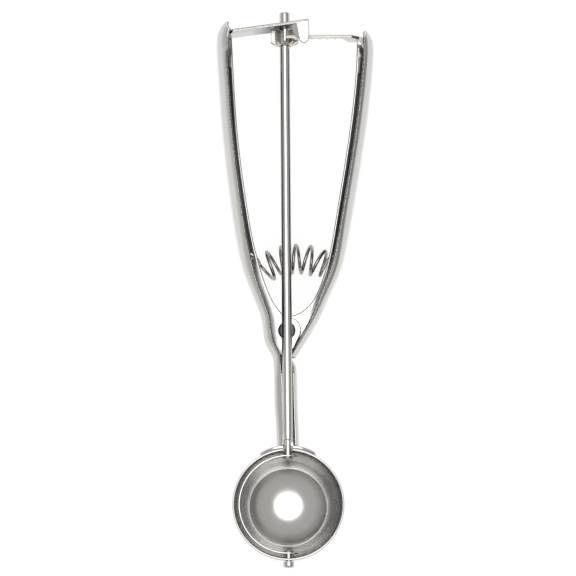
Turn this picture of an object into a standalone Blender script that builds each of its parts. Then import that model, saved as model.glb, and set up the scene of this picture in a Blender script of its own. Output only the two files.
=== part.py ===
"""Squeeze-handle cookie scoop, lying on its back with the bowl open upward.

Lengths in the tables are millimetres, heights are counted from the bowl's centre along +Y,
and the rod's axis is X = 0, Z = 0. The model is metric metres, moved at the end so that the
middle of its underside is the origin.
"""

import math

import bmesh
import bpy
import numpy as np
from mathutils import Matrix, Vector

MM = 0.001
GAP = 0.3
SHEET = 1.2

# Bowl
BOWL_RADIUS = 20.8
BOWL_WALL = 0.8
BOWL_RIM_Z = 2.4
BOWL_FLOOR_RADIUS = 15.0
BOWL_FLATTENING = 1.2
ROD_NOTCH_HALF = 1.9
SADDLE_SHEET = 1.0
SADDLE_HALF_ANGLE = 29.0
SADDLE_FRONT_Z = 1.0
SADDLE_REAR_Z = -8.6

# Rod, scraper and pin
ROD_RADIUS = 1.95
ROD_PAST_RACK = 10.7
ROD_STEP_ABOVE_BOWL = 4.1
ROD_TAPER = 3.4
ROD_TIP_RADIUS = 1.3
PEEN_RADIUS = 2.0
PEEN_THICK = 0.6
SCRAPER_FLOOR_GAP = 0.6
SCRAPER_SHEET = 0.5
SCRAPER_HALF_WIDTH = 3.4
SCRAPER_REST_TILT = 3.0
PIN_RADIUS = 1.1
PIN_HEAD_RADIUS = 2.1
PIN_HEAD_LENGTH = 2.4

# Lever geometry
PIVOT_Y = 68.0
RACK_REACH = 112.7
RIVET_RADIUS = 1.5
RIVET_HEAD_RADIUS = 3.4
RIVET_HEAD_HIGH = 1.5
RIVET_TAIL_HIGH = 1.1
WEB_BACK_Z = -7.6
GRIP_FRONT_Z = 9.0
GRIP_CORNER = 6.0
LIP_ARC_ANGLE = 45.0
WALL_BULGE = 0.04
WEB_RISE = 0.22
WEB_RISE_BELOW = (15.0, 40.0)
WEB_RISE_ABOVE = (114.0, 104.0)
NECK_BEND = 3.6
NECK_WALL = 0.9
NECK_CURL = 3.0
NECK_CURL_ANGLE = 55.0

# Gear
PINION_TEETH = 10
GEAR_MODULE = 0.95
TOOTH_HALF_ROOT = 0.80
TOOTH_HALF_TIP = 0.32
ADDENDUM = 0.78
DEDENDUM = 1.1
PINION_FACE = 5.7
PINION_BELOW_RACK = 2.4
PINION_CONE = 1.4
RACK_TEETH = 7
RACK_SHEET = 1.2
RACK_BACK = 2.3
RACK_LEG = 12.0
RACK_LEG_BACK_Z = -3.5
RACK_LEG_FRONT_Z = 3.6

# Bearing arm
ARM_TILT_ANGLE = 7.0
ARM_ABOVE_RACK = 5.0
ARM_REAR_Z = -5.2
ARM_LEG = 12.0
ARM_LEG_TILT = 0.055
ARM_LEG_FRONT_Z = 2.4
ARM_BEND = 2.4
ARM_NARROW_Z = 7.0
ARM_NARROW_X = 5.5
ARM_WIDE_X = 6.1
TAB_LEFT = 4.4
TAB_RIGHT = 9.2
TAB_DROP = 9.4
TAB_FACET = 1.9

# Spring
SPRING_WIRE = 0.66
SPRING_COIL = 5.4
SPRING_ARCH = 22.5
SPRING_ARCH_X = 4.0
SPRING_ARCH_ABOVE_PIVOT = 5.6
SPRING_FIRST_TOP_ANGLE = -24.3
SPRING_PITCH_ANGLE = 12.1
SPRING_START_TURNS = -0.8
SPRING_END_TURNS = 4.3
CURL_POINT_COUNT = 10
HOOK_ABOVE_PIVOT = 29.0
HOOK_BEND = 1.0
HOOK_PAST_WEB = 1.5
HOOK_INSET = 4.2

BOWL_DEPTH = BOWL_RADIUS - BOWL_FLATTENING
SCRAPER_RADIUS = BOWL_DEPTH - SCRAPER_FLOOR_GAP
PITCH_RADIUS = PINION_TEETH * GEAR_MODULE / 2
TOOTH_PITCH = math.pi * GEAR_MODULE
RACK_Y = PIVOT_Y + RACK_REACH
PINION_BOTTOM_Y = RACK_Y - PINION_BELOW_RACK
ARM_HOLE_Y = RACK_Y + ARM_ABOVE_RACK
ROD_TOP = RACK_Y + ROD_PAST_RACK
ROD_STEP_Y = BOWL_RADIUS + ROD_STEP_ABOVE_BOWL
SPRING_ARCH_Y = PIVOT_Y + SPRING_ARCH_ABOVE_PIVOT
HOOK_Y = PIVOT_Y + HOOK_ABOVE_PIVOT
LEVER_BACK_Z = WEB_BACK_Z - SHEET - GAP
RACK_FRONT_Z = PITCH_RADIUS + DEDENDUM + RACK_BACK
ARM_FRONT_Z = RACK_FRONT_Z + GAP + SHEET
SPRING_Z = -ROD_RADIUS - 0.45 - SPRING_COIL - SPRING_WIRE

# Outlines of the two handles seen from the front: height from the pivot, then X. They are drawn for
# the reach and the neck named here, and handle_height moves their heights when those change
DRAWN_REACH = 112.7
DRAWN_NECK = 49.5
NECK_TOP = 18.0
GRIP_STRETCH_FROM = 40.0
GRIP_STRETCH_TO = 100.0
NECK_INTO_BOWL = 2.3
NECK_FOLD = (-13.5, -9.0)
FIXED_OUTER = ((-49.5, -4.1), (-37.0, -4.5), (-28.0, -4.9), (-16.6, -5.0), (-12.0, -5.25), (-4.5, -8.5),
               (4.0, -9.65), (10.7, -12.0), (24.0, -16.8), (41.2, -20.1), (80.0, -24.5), (94.5, -25.4),
               (110.0, -26.2), (114.2, -26.0), (116.6, -25.1), (117.6, -24.4), (118.8, -23.2))
FIXED_INNER = ((-49.5, 4.4), (-30.0, 3.9), (-15.0, 3.6), (-12.5, 2.6), (-11.3, 1.1), (-10.4, 0.4),
               (-8.0, 2.1), (-6.0, 3.3), (-4.2, 4.1), (-2.8, 4.85), (0.0, 5.6), (2.8, 4.85), (4.2, 3.7),
               (5.6, 0.0), (7.2, -2.3), (12.2, -5.7), (25.9, -10.5), (43.4, -14.2), (82.6, -18.9),
               (118.8, -20.7))
FIXED_LIP = ((-49.5, 2.5), (-37.0, 2.85), (-28.0, 3.2), (-20.0, 3.1), (-16.0, 2.75), (-12.0, 2.5),
             (-8.0, 2.9), (-4.0, 2.9), (0.0, 2.6), (12.0, 2.8), (24.0, 3.4), (104.0, 3.2), (106.8, 3.3),
             (109.0, 4.2), (115.3, 4.0), (117.5, 1.9), (118.8, 0.5))
FIXED_FRONT = ((-49.5, -1.65), (-22.0, -1.65), (-16.0, -0.9), (-12.0, 0.1), (-6.0, 2.2), (12.0, 6.4),
               (40.0, 8.6), (60.0, 9.0), (118.8, 9.0))
FIXED_BACK_CORNER = ((-49.5, 2.8), (-14.0, 2.8), (-4.0, 3.6), (12.0, 3.4), (118.8, 3.2))
LEVER_OUTER = ((-10.7, 3.2), (-4.4, 7.3), (4.0, 12.3), (10.8, 15.4), (24.0, 21.1), (41.3, 24.9),
               (99.1, 33.6), (108.0, 34.2), (111.4, 34.0), (113.2, 33.3), (114.2, 32.6), (114.8, 31.9))
LEVER_INNER = ((-10.7, 1.2), (-8.0, 2.6), (-6.4, 2.4), (-5.5, 0.8), (-5.0, -2.5), (-3.4, -4.45),
               (0.0, -5.6), (3.4, -4.45), (5.0, -2.5), (5.8, 1.8), (7.5, 6.0), (12.4, 10.6),
               (26.1, 15.8), (43.6, 19.3), (102.4, 27.7), (114.8, 28.3))
LEVER_LIP = ((-10.7, 1.9), (0.0, 2.4), (10.0, 2.8), (22.0, 3.4), (111.0, 3.3), (113.2, 2.3), (114.8, 0.6))
LEVER_FRONT = ((-10.7, -3.0), (-8.0, -0.8), (-4.0, 1.0), (12.0, 5.2), (40.0, 7.8), (60.0, 8.4), (114.8, 8.4))
LEVER_BACK_CORNER = ((-10.7, 1.8), (8.0, 2.2), (18.0, 3.2), (114.8, 3.2))

# Rows of each handle's sheet: from, to, spacing, closer together where the outline turns
FIXED_ROWS = ((-49.5, -18.0, 7.5), (-18.0, -12.0, 0.66), (-12.0, 7.2, 0.8), (7.2, 13.0, 1.45),
              (13.0, 101.0, 7.4), (101.0, 109.0, 2.0), (109.0, 118.8, 1.1))
LEVER_ROWS = ((-10.7, 7.5, 0.7), (7.5, 13.0, 1.4), (13.0, 105.0, 7.1), (105.0, 110.0, 1.25),
              (110.0, 114.8, 0.6))


def handle_height(dy):
    """Height from the pivot in the handles' tables, moved with the rack's reach and the neck's length."""
    if dy < -NECK_TOP:
        neck = PIVOT_Y - BOWL_RADIUS + NECK_INTO_BOWL
        return -NECK_TOP + (dy + NECK_TOP) * (neck - NECK_TOP) / (DRAWN_NECK - NECK_TOP)
    share = (dy - GRIP_STRETCH_FROM) / (GRIP_STRETCH_TO - GRIP_STRETCH_FROM)
    return dy + (RACK_REACH - DRAWN_REACH) * min(max(share, 0.0), 1.0)


def handle_curve(table):
    return curve_through([(handle_height(dy), value) for dy, value in table])


def curve_through(points):
    """Smooth curve through (place, value) points that never overshoots them."""
    place, value = (np.array(column, float) for column in zip(*points))
    step = np.diff(place)
    slope = np.diff(value) / step
    ends = np.zeros(len(place))
    ends[0], ends[-1] = slope[0], slope[-1]
    for i in range(1, len(place) - 1):
        if slope[i - 1] * slope[i] > 0.0:
            ends[i] = 2.0 / (1.0 / slope[i - 1] + 1.0 / slope[i])

    def at(x):
        i = int(np.clip(np.searchsorted(place, x) - 1, 0, len(step) - 1))
        t = min(max((x - place[i]) / step[i], 0.0), 1.0)
        return ((2 * t ** 3 - 3 * t ** 2 + 1) * value[i] + (t ** 3 - 2 * t ** 2 + t) * step[i] * ends[i]
                + (3 * t ** 2 - 2 * t ** 3) * value[i + 1] + (t ** 3 - t ** 2) * step[i] * ends[i + 1])
    return at


def collection(name):
    group = bpy.data.collections.new(name)
    bpy.context.scene.collection.children.link(group)
    return group


def steel(name, color, roughness):
    material = bpy.data.materials.new(name)
    material.use_nodes = True
    shader = material.node_tree.nodes["Principled BSDF"]
    shader.inputs["Base Color"].default_value = (*color, 1.0)
    shader.inputs["Metallic"].default_value = 1.0
    shader.inputs["Roughness"].default_value = roughness
    return material


def add(name, mesh, group, parent, material=None, origin=(0.0, 0.0, 0.0)):
    """Link a mesh drawn in scoop coordinates as an object whose own origin is at origin."""
    obj = bpy.data.objects.new(name, mesh)
    mesh.transform(Matrix.Translation(-Vector(origin)))
    obj.location = Vector(origin) - parent.matrix_local.translation * (parent.parent is not None)
    obj.parent = parent
    group.objects.link(obj)
    if material:
        mesh.materials.append(material)
    mesh.shade_smooth()
    mesh.set_sharp_from_angle(angle=math.radians(35.0))
    return obj


def sheet_mesh(name, rows, columns, surface):
    """Grid whose vertex in row i and column j lies at surface(i, j), in millimetres."""
    mesh = bpy.data.meshes.new(name)
    bm = bmesh.new()
    bmesh.ops.create_grid(bm, x_segments=columns - 1, y_segments=rows - 1, size=1.0)
    for vert in bm.verts:
        j = round((vert.co.x + 1.0) / 2.0 * (columns - 1))
        i = round((vert.co.y + 1.0) / 2.0 * (rows - 1))
        vert.co = Vector(surface(i, j)) * MM
    bm.to_mesh(mesh)
    bm.free()
    return mesh


def thicken(obj, thickness, offset):
    mod = obj.modifiers.new("sheet", "SOLIDIFY")
    mod.thickness = thickness * MM
    mod.offset = offset
    mod.use_even_offset = True
    mod.use_quality_normals = True


def turned(name, profile, steps, group, parent, material, origin=(0.0, 0.0, 0.0)):
    """Turn a closed profile of (radius, height) points about the rod's direction, +Y."""
    mesh = bpy.data.meshes.new(name)
    points = [Vector((radius, 0.0, height)) * MM for radius, height in profile]
    mesh.from_pydata(points, [(i, i + 1) for i in range(len(points) - 1)], [])
    obj = add(name, mesh, group, parent, material, (0.0, 0.0, 0.0))
    mod = obj.modifiers.new("turn", "SCREW")
    mod.axis = "Z"
    mod.steps = mod.render_steps = steps
    mod.use_merge_vertices = True
    mod.merge_threshold = 0.00001
    obj.rotation_euler = (-math.pi / 2.0, 0.0, 0.0)
    obj.location = Vector(origin) - parent.matrix_local.translation * (parent.parent is not None)
    return obj


def outline_mesh(name, points, low, high, axis):
    """Closed outline in the two axes that follow axis, filled and extruded along axis."""
    mesh = bpy.data.meshes.new(name)
    bm = bmesh.new()
    turn = {"X": (2, 0, 1), "Y": (1, 2, 0), "Z": (0, 1, 2)}[axis]
    verts = []
    for first, second in points:
        flat = (first, second, low)
        verts.append(bm.verts.new(Vector((flat[turn[0]], flat[turn[1]], flat[turn[2]])) * MM))
    face = bm.faces.new(verts)
    along = {"X": 0, "Y": 1, "Z": 2}[axis]
    grown = bmesh.ops.extrude_face_region(bm, geom=[face])
    for item in grown["geom"]:
        if isinstance(item, bmesh.types.BMVert):
            item.co[along] = high * MM
    bmesh.ops.recalc_face_normals(bm, faces=bm.faces)
    bm.to_mesh(mesh)
    bm.free()
    return mesh


def hull_mesh(name, points):
    """Convex solid round the points, in millimetres."""
    mesh = bpy.data.meshes.new(name)
    bm = bmesh.new()
    for point in points:
        bm.verts.new(Vector(point) * MM)
    bmesh.ops.convex_hull(bm, input=bm.verts)
    bmesh.ops.delete(bm, geom=[vert for vert in bm.verts if not vert.link_faces], context="VERTS")
    bmesh.ops.recalc_face_normals(bm, faces=bm.faces)
    bm.to_mesh(mesh)
    bm.free()
    return mesh


def cylinder_mesh(name, radius, low, high, sides, center=(0.0, 0.0), axis="Z"):
    """Round bar along axis; center is given in the two axes that follow it."""
    ring = [(center[0] + radius * math.cos(2 * math.pi * k / sides),
             center[1] + radius * math.sin(2 * math.pi * k / sides)) for k in range(sides)]
    return outline_mesh(name, ring, low, high, axis)


def cut(obj, cutter, operation="DIFFERENCE"):
    mod = obj.modifiers.new(cutter.name, "BOOLEAN")
    mod.operation = operation
    mod.solver = "EXACT"
    mod.object = cutter


def make_cutter(mesh, tools, parent, origin=(0.0, 0.0, 0.0)):
    cutter = add(mesh.name, mesh, tools, parent, None, origin)
    cutter.hide_render = True
    cutter.display_type = "WIRE"
    return cutter


def make_bowl(parts, tools, frame, material):
    """Half-round shell with a flatter floor, a rod notch in the rim and a pin hole."""
    drop = math.sqrt(BOWL_RADIUS ** 2 - BOWL_FLOOR_RADIUS ** 2)
    sag = BOWL_DEPTH - drop
    floor_radius = (BOWL_FLOOR_RADIUS ** 2 + sag ** 2) / (2.0 * sag)
    profile = []
    rim = math.asin(BOWL_RIM_Z / BOWL_RADIUS)
    crease = -math.acos(BOWL_FLOOR_RADIUS / BOWL_RADIUS)
    for k in range(8):
        angle = rim + (crease - rim) * k / 7
        profile.append((BOWL_RADIUS * math.cos(angle), BOWL_RADIUS * math.sin(angle)))
    half = math.asin(BOWL_FLOOR_RADIUS / floor_radius)
    for k in range(1, 6):
        angle = half * (1.0 - k / 5)
        profile.append((floor_radius * math.sin(angle),
                        floor_radius * (1.0 - math.cos(angle)) - BOWL_DEPTH))
    bowl = turned("bowl", profile, 56, parts, frame, material)
    bowl.rotation_euler = (0.0, 0.0, 0.0)
    thicken(bowl, BOWL_WALL, 1.0)
    notch = [(ROD_NOTCH_HALF * math.cos(math.radians(a)), ROD_NOTCH_HALF * math.sin(math.radians(a)))
             for a in range(180, 361, 20)]
    notch += [(ROD_NOTCH_HALF, 2.0 * BOWL_RIM_Z), (-ROD_NOTCH_HALF, 2.0 * BOWL_RIM_Z)]
    reach = 6.0 * BOWL_WALL
    low, high = BOWL_RADIUS - reach, BOWL_RADIUS + reach
    slot = outline_mesh("rod_notch", [(z, x) for x, z in notch], low, high, "Y")
    cut(bowl, make_cutter(slot, tools, frame))
    hole = cylinder_mesh("pin_hole", PIN_RADIUS + GAP, -high, -low, 20, axis="Y")
    cut(bowl, make_cutter(hole, tools, frame))


def make_saddle(parts, tools, frame, material):
    """Curved oval plate on the bowl's outside, notched for the rod."""
    inner = BOWL_RADIUS + BOWL_WALL + GAP

    def surface(i, j):
        across = 2.0 * j / 16 - 1.0
        angle = math.radians(SADDLE_HALF_ANGLE) * across
        middle = (SADDLE_FRONT_Z + SADDLE_REAR_Z) / 2.0
        z = middle + (SADDLE_REAR_Z - middle) * (1.0 - 2.0 * i / 6) * math.sqrt(1.0 - 0.96 * across ** 2)
        reach = math.sqrt(inner ** 2 - z ** 2)
        return reach * math.sin(angle), reach * math.cos(angle), z

    saddle = add("bowl_saddle", sheet_mesh("bowl_saddle", 7, 17, surface), parts, frame, material)
    thicken(saddle, SADDLE_SHEET, -1.0)
    cut(saddle, bpy.data.objects["rod_notch"])


def neck_path(turn):
    """Steps (length, direction) of the web's last stretch. turn is 0 where it is flat, 1 in the neck."""
    bend_steps, curl_steps = 3, 3
    curl = math.radians(NECK_CURL_ANGLE)
    steps = []
    for k in range(bend_steps):
        steps.append((NECK_BEND / bend_steps, math.pi / 2.0 * (k + 0.5) / bend_steps))
    steps.append((NECK_WALL, math.pi / 2.0))
    for k in range(curl_steps):
        steps.append((NECK_CURL / curl_steps, math.pi / 2.0 + curl * (k + 0.5) / curl_steps))
    return [(length, turn * angle) for length, angle in steps]


def channel_section(outer, inner, lip, front, back, corner, back_corner, side, rise, turn):
    """Points of one handle section from the lip's edge round the grip to the web's edge.

    side is +1 where the web runs toward +X. The lip is part of an ellipse that never gets level,
    rise is the web's slope toward the front, and turn curls its last stretch forward and over.
    """
    lip_steps, corner_steps = 4, 4
    width, depth = abs(inner - outer), front - back
    corner_x, corner_z = min(back_corner, 0.72 * width), min(back_corner, 0.42 * depth)
    corner_x = min(corner_x, corner_z ** 2 / (1.15 * SHEET))
    corner_z = min(corner_z, corner_x ** 2 / (1.15 * SHEET))
    arc = math.radians(LIP_ARC_ANGLE)
    points = []
    for k in range(lip_steps + 1):
        a = arc * (1.0 - k / lip_steps)
        points.append((outer + side * lip * (1.0 - math.cos(a)) / (1.0 - math.cos(arc)),
                       front - corner * (1.0 - math.sin(a) / math.sin(arc))))
    top, low = front - corner, back + corner_z
    points.append((outer - side * WALL_BULGE * (top - low), (top + low) / 2.0))
    for k in range(corner_steps + 1):
        a = math.pi / 2.0 * k / corner_steps
        points.append((outer + side * corner_x * (1.0 - math.cos(a)), back + corner_z * (1.0 - math.sin(a))))
    x, z, reach = 0.0, 0.0, 0.0
    path = []
    for length, angle in neck_path(turn):
        x += length * math.cos(angle)
        z += length * math.sin(angle)
        reach = max(reach, x)
        path.append((x, z))
    start = outer + side * corner_x
    room = max(side * (inner - start), 0.2)
    fit = min(1.0, 0.8 * room / reach)
    span = inner - side * reach * fit
    points.append((span, back))
    points += [(span + side * fit * x, back + fit * z) for x, z in path]
    return [(x, z + rise * max(side * (x - start), 0.0)) for x, z in points]


def height_rows(stretches):
    """Heights from the pivot for the rows of a handle's sheet."""
    rows = [handle_height(stretches[0][0])]
    for low, high, spacing in stretches:
        steps = round((high - low) / spacing)
        rows += [handle_height(low + (high - low) * (k + 1) / steps) for k in range(steps)]
    return rows


def ease(value, start, end):
    """0 at start, 1 at end, smooth between."""
    t = min(max((value - start) / (end - start), 0.0), 1.0)
    return t * t * (3.0 - 2.0 * t)


def handle_mesh(name, tables, back, side, rows, fold_at=None):
    outer, inner, lip, front, back_corner = (handle_curve(table) for table in tables)
    sections = []
    for dy in rows:
        turn = ease(dy, fold_at[1], fold_at[0]) if fold_at else 0.0
        rise = WEB_RISE * ease(dy, *WEB_RISE_BELOW) * ease(dy, *WEB_RISE_ABOVE)
        corner = min(GRIP_CORNER, 0.5 * (front(dy) - back))
        sections.append(channel_section(outer(dy), inner(dy), lip(dy), front(dy), back, corner,
                                        back_corner(dy), side, rise, turn))

    def surface(i, j):
        x, z = sections[i][j]
        return x, PIVOT_Y + rows[i], z
    return sheet_mesh(name, len(rows), len(sections[0]), surface)


def make_fixed_handle(parts, tools, frame, material):
    """Left grip, ear and neck, stamped from one sheet."""
    rows = height_rows(FIXED_ROWS)
    tables = (FIXED_OUTER, FIXED_INNER, FIXED_LIP, FIXED_FRONT, FIXED_BACK_CORNER)
    mesh = handle_mesh("fixed_handle", tables, WEB_BACK_Z, 1.0, rows, fold_at=NECK_FOLD)
    handle = add("fixed_handle", mesh, parts, frame, material)
    thicken(handle, SHEET, 1.0)
    sphere = bpy.data.meshes.new("neck_end")
    bm = bmesh.new()
    reach = BOWL_RADIUS + BOWL_WALL + GAP + SADDLE_SHEET + GAP
    bmesh.ops.create_uvsphere(bm, u_segments=48, v_segments=24, radius=reach * MM)
    bm.to_mesh(sphere)
    bm.free()
    cut(handle, make_cutter(sphere, tools, frame))
    cut(handle, make_cutter(ear_hole_mesh("ear_hole"), tools, frame))
    cut(handle, hook_hole("left_hook_hole", *hook_places()[0], tools, frame))


def hook_hole(name, hole_x, back, tools, parent, origin=(0.0, 0.0, 0.0)):
    mesh = cylinder_mesh(name, SPRING_WIRE + 0.5, back - 2.0, back + SHEET + 0.8, 16,
                         center=(hole_x, HOOK_Y))
    return make_cutter(mesh, tools, parent, origin)


def ear_hole_mesh(name):
    return cylinder_mesh(name, RIVET_RADIUS + GAP, LEVER_BACK_Z - 3.0, WEB_BACK_Z + 4.0, 24,
                         center=(0.0, PIVOT_Y))


def make_lever_handle(parts, tools, lever, material):
    """Right grip and its ear, which lies behind the fixed one."""
    rows = height_rows(LEVER_ROWS)
    tables = (LEVER_OUTER, LEVER_INNER, LEVER_LIP, LEVER_FRONT, LEVER_BACK_CORNER)
    mesh = handle_mesh("lever_handle", tables, LEVER_BACK_Z, -1.0, rows)
    handle = add("lever_handle", mesh, parts, lever, material, (0.0, PIVOT_Y * MM, 0.0))
    thicken(handle, SHEET, -1.0)
    cut(handle, bpy.data.objects["ear_hole"])
    cut(handle, hook_hole("right_hook_hole", *hook_places()[1], tools, lever, (0.0, PIVOT_Y * MM, 0.0)))


def make_rivet(parts, frame, material):
    """Domed head in front, shank through both ears, flat peened tail behind."""
    face = WEB_BACK_Z + SHEET + GAP
    tail = LEVER_BACK_Z - GAP
    dome = [(RIVET_HEAD_RADIUS * math.cos(math.radians(a)), face + 0.4 + (RIVET_HEAD_HIGH - 0.4)
             * math.sin(math.radians(a))) for a in (0, 25, 50, 72)]
    profile = [(0.0, face + RIVET_HEAD_HIGH)] + dome[::-1] + [(RIVET_HEAD_RADIUS, face)]
    profile += [(RIVET_RADIUS, face), (RIVET_RADIUS, tail), (RIVET_HEAD_RADIUS - 0.4, tail),
                (RIVET_HEAD_RADIUS - 0.8, tail - RIVET_TAIL_HIGH), (0.0, tail - RIVET_TAIL_HIGH)]
    rivet = turned("pivot_rivet", profile, 32, parts, frame, material, (0.0, PIVOT_Y * MM, 0.0))
    rivet.rotation_euler = (0.0, 0.0, 0.0)


def make_rod(parts, spin, material):
    """Long rod, tapered and stepped thin above the bowl, peened inside the scraper."""
    tab_in = SCRAPER_RADIUS - SCRAPER_SHEET - GAP
    profile = [(0.0, ROD_TOP), (ROD_RADIUS - 0.5, ROD_TOP), (ROD_RADIUS, ROD_TOP - 0.5),
               (ROD_RADIUS, ROD_STEP_Y + ROD_TAPER), (ROD_RADIUS - 0.25, ROD_STEP_Y),
               (ROD_TIP_RADIUS, ROD_STEP_Y), (ROD_TIP_RADIUS, tab_in), (PEEN_RADIUS, tab_in),
               (PEEN_RADIUS - 0.3, tab_in - PEEN_THICK), (0.0, tab_in - PEEN_THICK)]
    turned("rod", profile, 24, parts, spin, material)


def make_bottom_pin(parts, spin, material):
    """Round-headed pin through the bowl's wall and the scraper's far tab."""
    tab_in = -(SCRAPER_RADIUS - SCRAPER_SHEET - GAP)
    head = -(BOWL_RADIUS + BOWL_WALL + GAP)
    tip = head - PIN_HEAD_LENGTH
    profile = [(0.0, tab_in + PEEN_THICK), (PIN_RADIUS + 0.4, tab_in + PEEN_THICK),
               (PIN_RADIUS + 0.7, tab_in), (PIN_RADIUS, tab_in), (PIN_RADIUS, head),
               (PIN_HEAD_RADIUS, head), (PIN_HEAD_RADIUS, tip + 0.9), (PIN_HEAD_RADIUS - 0.35, tip + 0.3),
               (PIN_HEAD_RADIUS - 1.0, tip), (0.0, tip)]
    turned("bottom_pin", profile, 24, parts, spin, material)


def make_scraper(parts, tools, spin, material):
    """Thin strip bent into a half ring, with a round tab at each end on the rod's axis."""
    arc_steps, tab_steps = 28, 4
    rows = arc_steps + 1 + 2 * tab_steps

    def surface(i, j):
        past = max(tab_steps - i, i - tab_steps - arc_steps, 0) / tab_steps
        width = SCRAPER_HALF_WIDTH * math.sqrt(1.0 - (0.985 * past) ** 2)
        z = width * (2.0 * j / 4 - 1.0)
        angle = math.pi * min(max(i - tab_steps, 0), arc_steps) / arc_steps
        x = -SCRAPER_RADIUS * math.sin(angle) + SCRAPER_HALF_WIDTH * past
        return x, SCRAPER_RADIUS * math.cos(angle), z

    scraper = add("scraper", sheet_mesh("scraper", rows, 5, surface), parts, spin, material)
    scraper.rotation_euler = (0.0, -math.radians(SCRAPER_REST_TILT), 0.0)
    thicken(scraper, SCRAPER_SHEET, 1.0)
    for name, end, radius in (("rod_tab_hole", 1.0, ROD_TIP_RADIUS), ("pin_tab_hole", -1.0, PIN_RADIUS)):
        middle, reach = end * SCRAPER_RADIUS, 4.0 * SCRAPER_SHEET
        hole = cylinder_mesh(name, radius + GAP, middle - reach, middle + reach, 20, axis="Y")
        cut(scraper, make_cutter(hole, tools, spin))


def gear_outline():
    """Pinion outline as (Z, X) points, with a tooth facing +Z."""
    root, tip = PITCH_RADIUS - DEDENDUM, PITCH_RADIUS + ADDENDUM
    points = []
    for k in range(PINION_TEETH):
        middle = 2.0 * math.pi * k / PINION_TEETH
        flank = (TOOTH_HALF_ROOT + TOOTH_HALF_TIP) / 2.0
        for radius, half in ((root, -TOOTH_HALF_ROOT), (PITCH_RADIUS, -flank), (tip, -TOOTH_HALF_TIP),
                             (tip, TOOTH_HALF_TIP), (PITCH_RADIUS, flank), (root, TOOTH_HALF_ROOT)):
            angle = middle + half / radius
            points.append((radius * math.cos(angle), radius * math.sin(angle)))
    return points


def make_pinion(parts, tools, spin, material):
    """Tall gear on the rod, under the bearing arm, its lower end turned to a cone."""
    mesh = outline_mesh("pinion", gear_outline(), PINION_BOTTOM_Y, PINION_BOTTOM_Y + PINION_FACE, "Y")
    pinion = add("pinion", mesh, parts, spin, material)
    core, wide = PITCH_RADIUS - DEDENDUM - 0.2, PITCH_RADIUS + ADDENDUM + 0.1
    rings = ((core, 0.0), (wide, PINION_CONE), (wide, PINION_FACE + 1.0))
    turns = [math.pi * k / 24 for k in range(48)]
    blank = [(radius * math.cos(a), PINION_BOTTOM_Y + high, radius * math.sin(a))
             for radius, high in rings for a in turns]
    cut(pinion, make_cutter(hull_mesh("pinion_blank", blank), tools, spin), "INTERSECT")
    bore = cylinder_mesh("pinion_bore", ROD_RADIUS + GAP, PINION_BOTTOM_Y - 2.0,
                         PINION_BOTTOM_Y + PINION_FACE + 2.0, 24, axis="Y")
    cut(pinion, make_cutter(bore, tools, spin))


def rack_outline():
    """Rack outline as (Z, X) points: teeth at equal angles about the pivot, plain strip to the right."""
    tip, root = PITCH_RADIUS - ADDENDUM, PITCH_RADIUS + DEDENDUM
    step = TOOTH_PITCH / RACK_REACH
    points = []
    for k in range(RACK_TEETH):
        middle = RACK_REACH * math.tan(step * (k + 0.5))
        points += [(root, middle - TOOTH_HALF_ROOT), (tip, middle - TOOTH_HALF_TIP),
                   (tip, middle + TOOTH_HALF_TIP), (root, middle + TOOTH_HALF_ROOT)]
    left, plain, right = points[0][1] - 0.2, points[-1][1] + 1.5, rack_end()
    return [(root, left)] + points + [(root, plain), (RACK_LEG_BACK_Z, plain + 3.0),
                                      (RACK_LEG_BACK_Z, right), (RACK_LEG_FRONT_Z, right),
                                      (RACK_FRONT_Z, right - 3.0), (RACK_FRONT_Z, left)]


def rack_end():
    return handle_curve(LEVER_OUTER)(RACK_REACH + RACK_SHEET) - SHEET - 2.0 * GAP


def make_rack(parts, tools, lever, material):
    """Toothed strip from the lever's top, with a leg bent down inside the grip."""
    low, high = RACK_Y - RACK_SHEET / 2, RACK_Y + RACK_SHEET / 2
    strip = outline_mesh("rack", rack_outline(), low, high, "Y")
    rack = add("rack", strip, parts, lever, material, (0.0, PIVOT_Y * MM, 0.0))
    outer = handle_curve(LEVER_OUTER)
    side = [(rack_end(), high)]
    for k in range(5):
        y = high - RACK_LEG * (0.35 + 0.65 * k / 4)
        side.append((outer(y - PIVOT_Y) - SHEET - GAP - 0.3, y))
    slab = side + [(x - RACK_SHEET, y) for x, y in reversed(side)]
    leg = outline_mesh("rack_leg", slab, RACK_LEG_BACK_Z, RACK_LEG_FRONT_Z, "Z")
    cut(rack, make_cutter(leg, tools, lever, (0.0, PIVOT_Y * MM, 0.0)), "UNION")


def plate_top(x):
    """Height of the arm's upper face at x."""
    return ARM_HOLE_Y + SHEET / 2 + math.tan(math.radians(ARM_TILT_ANGLE)) * x


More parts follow.
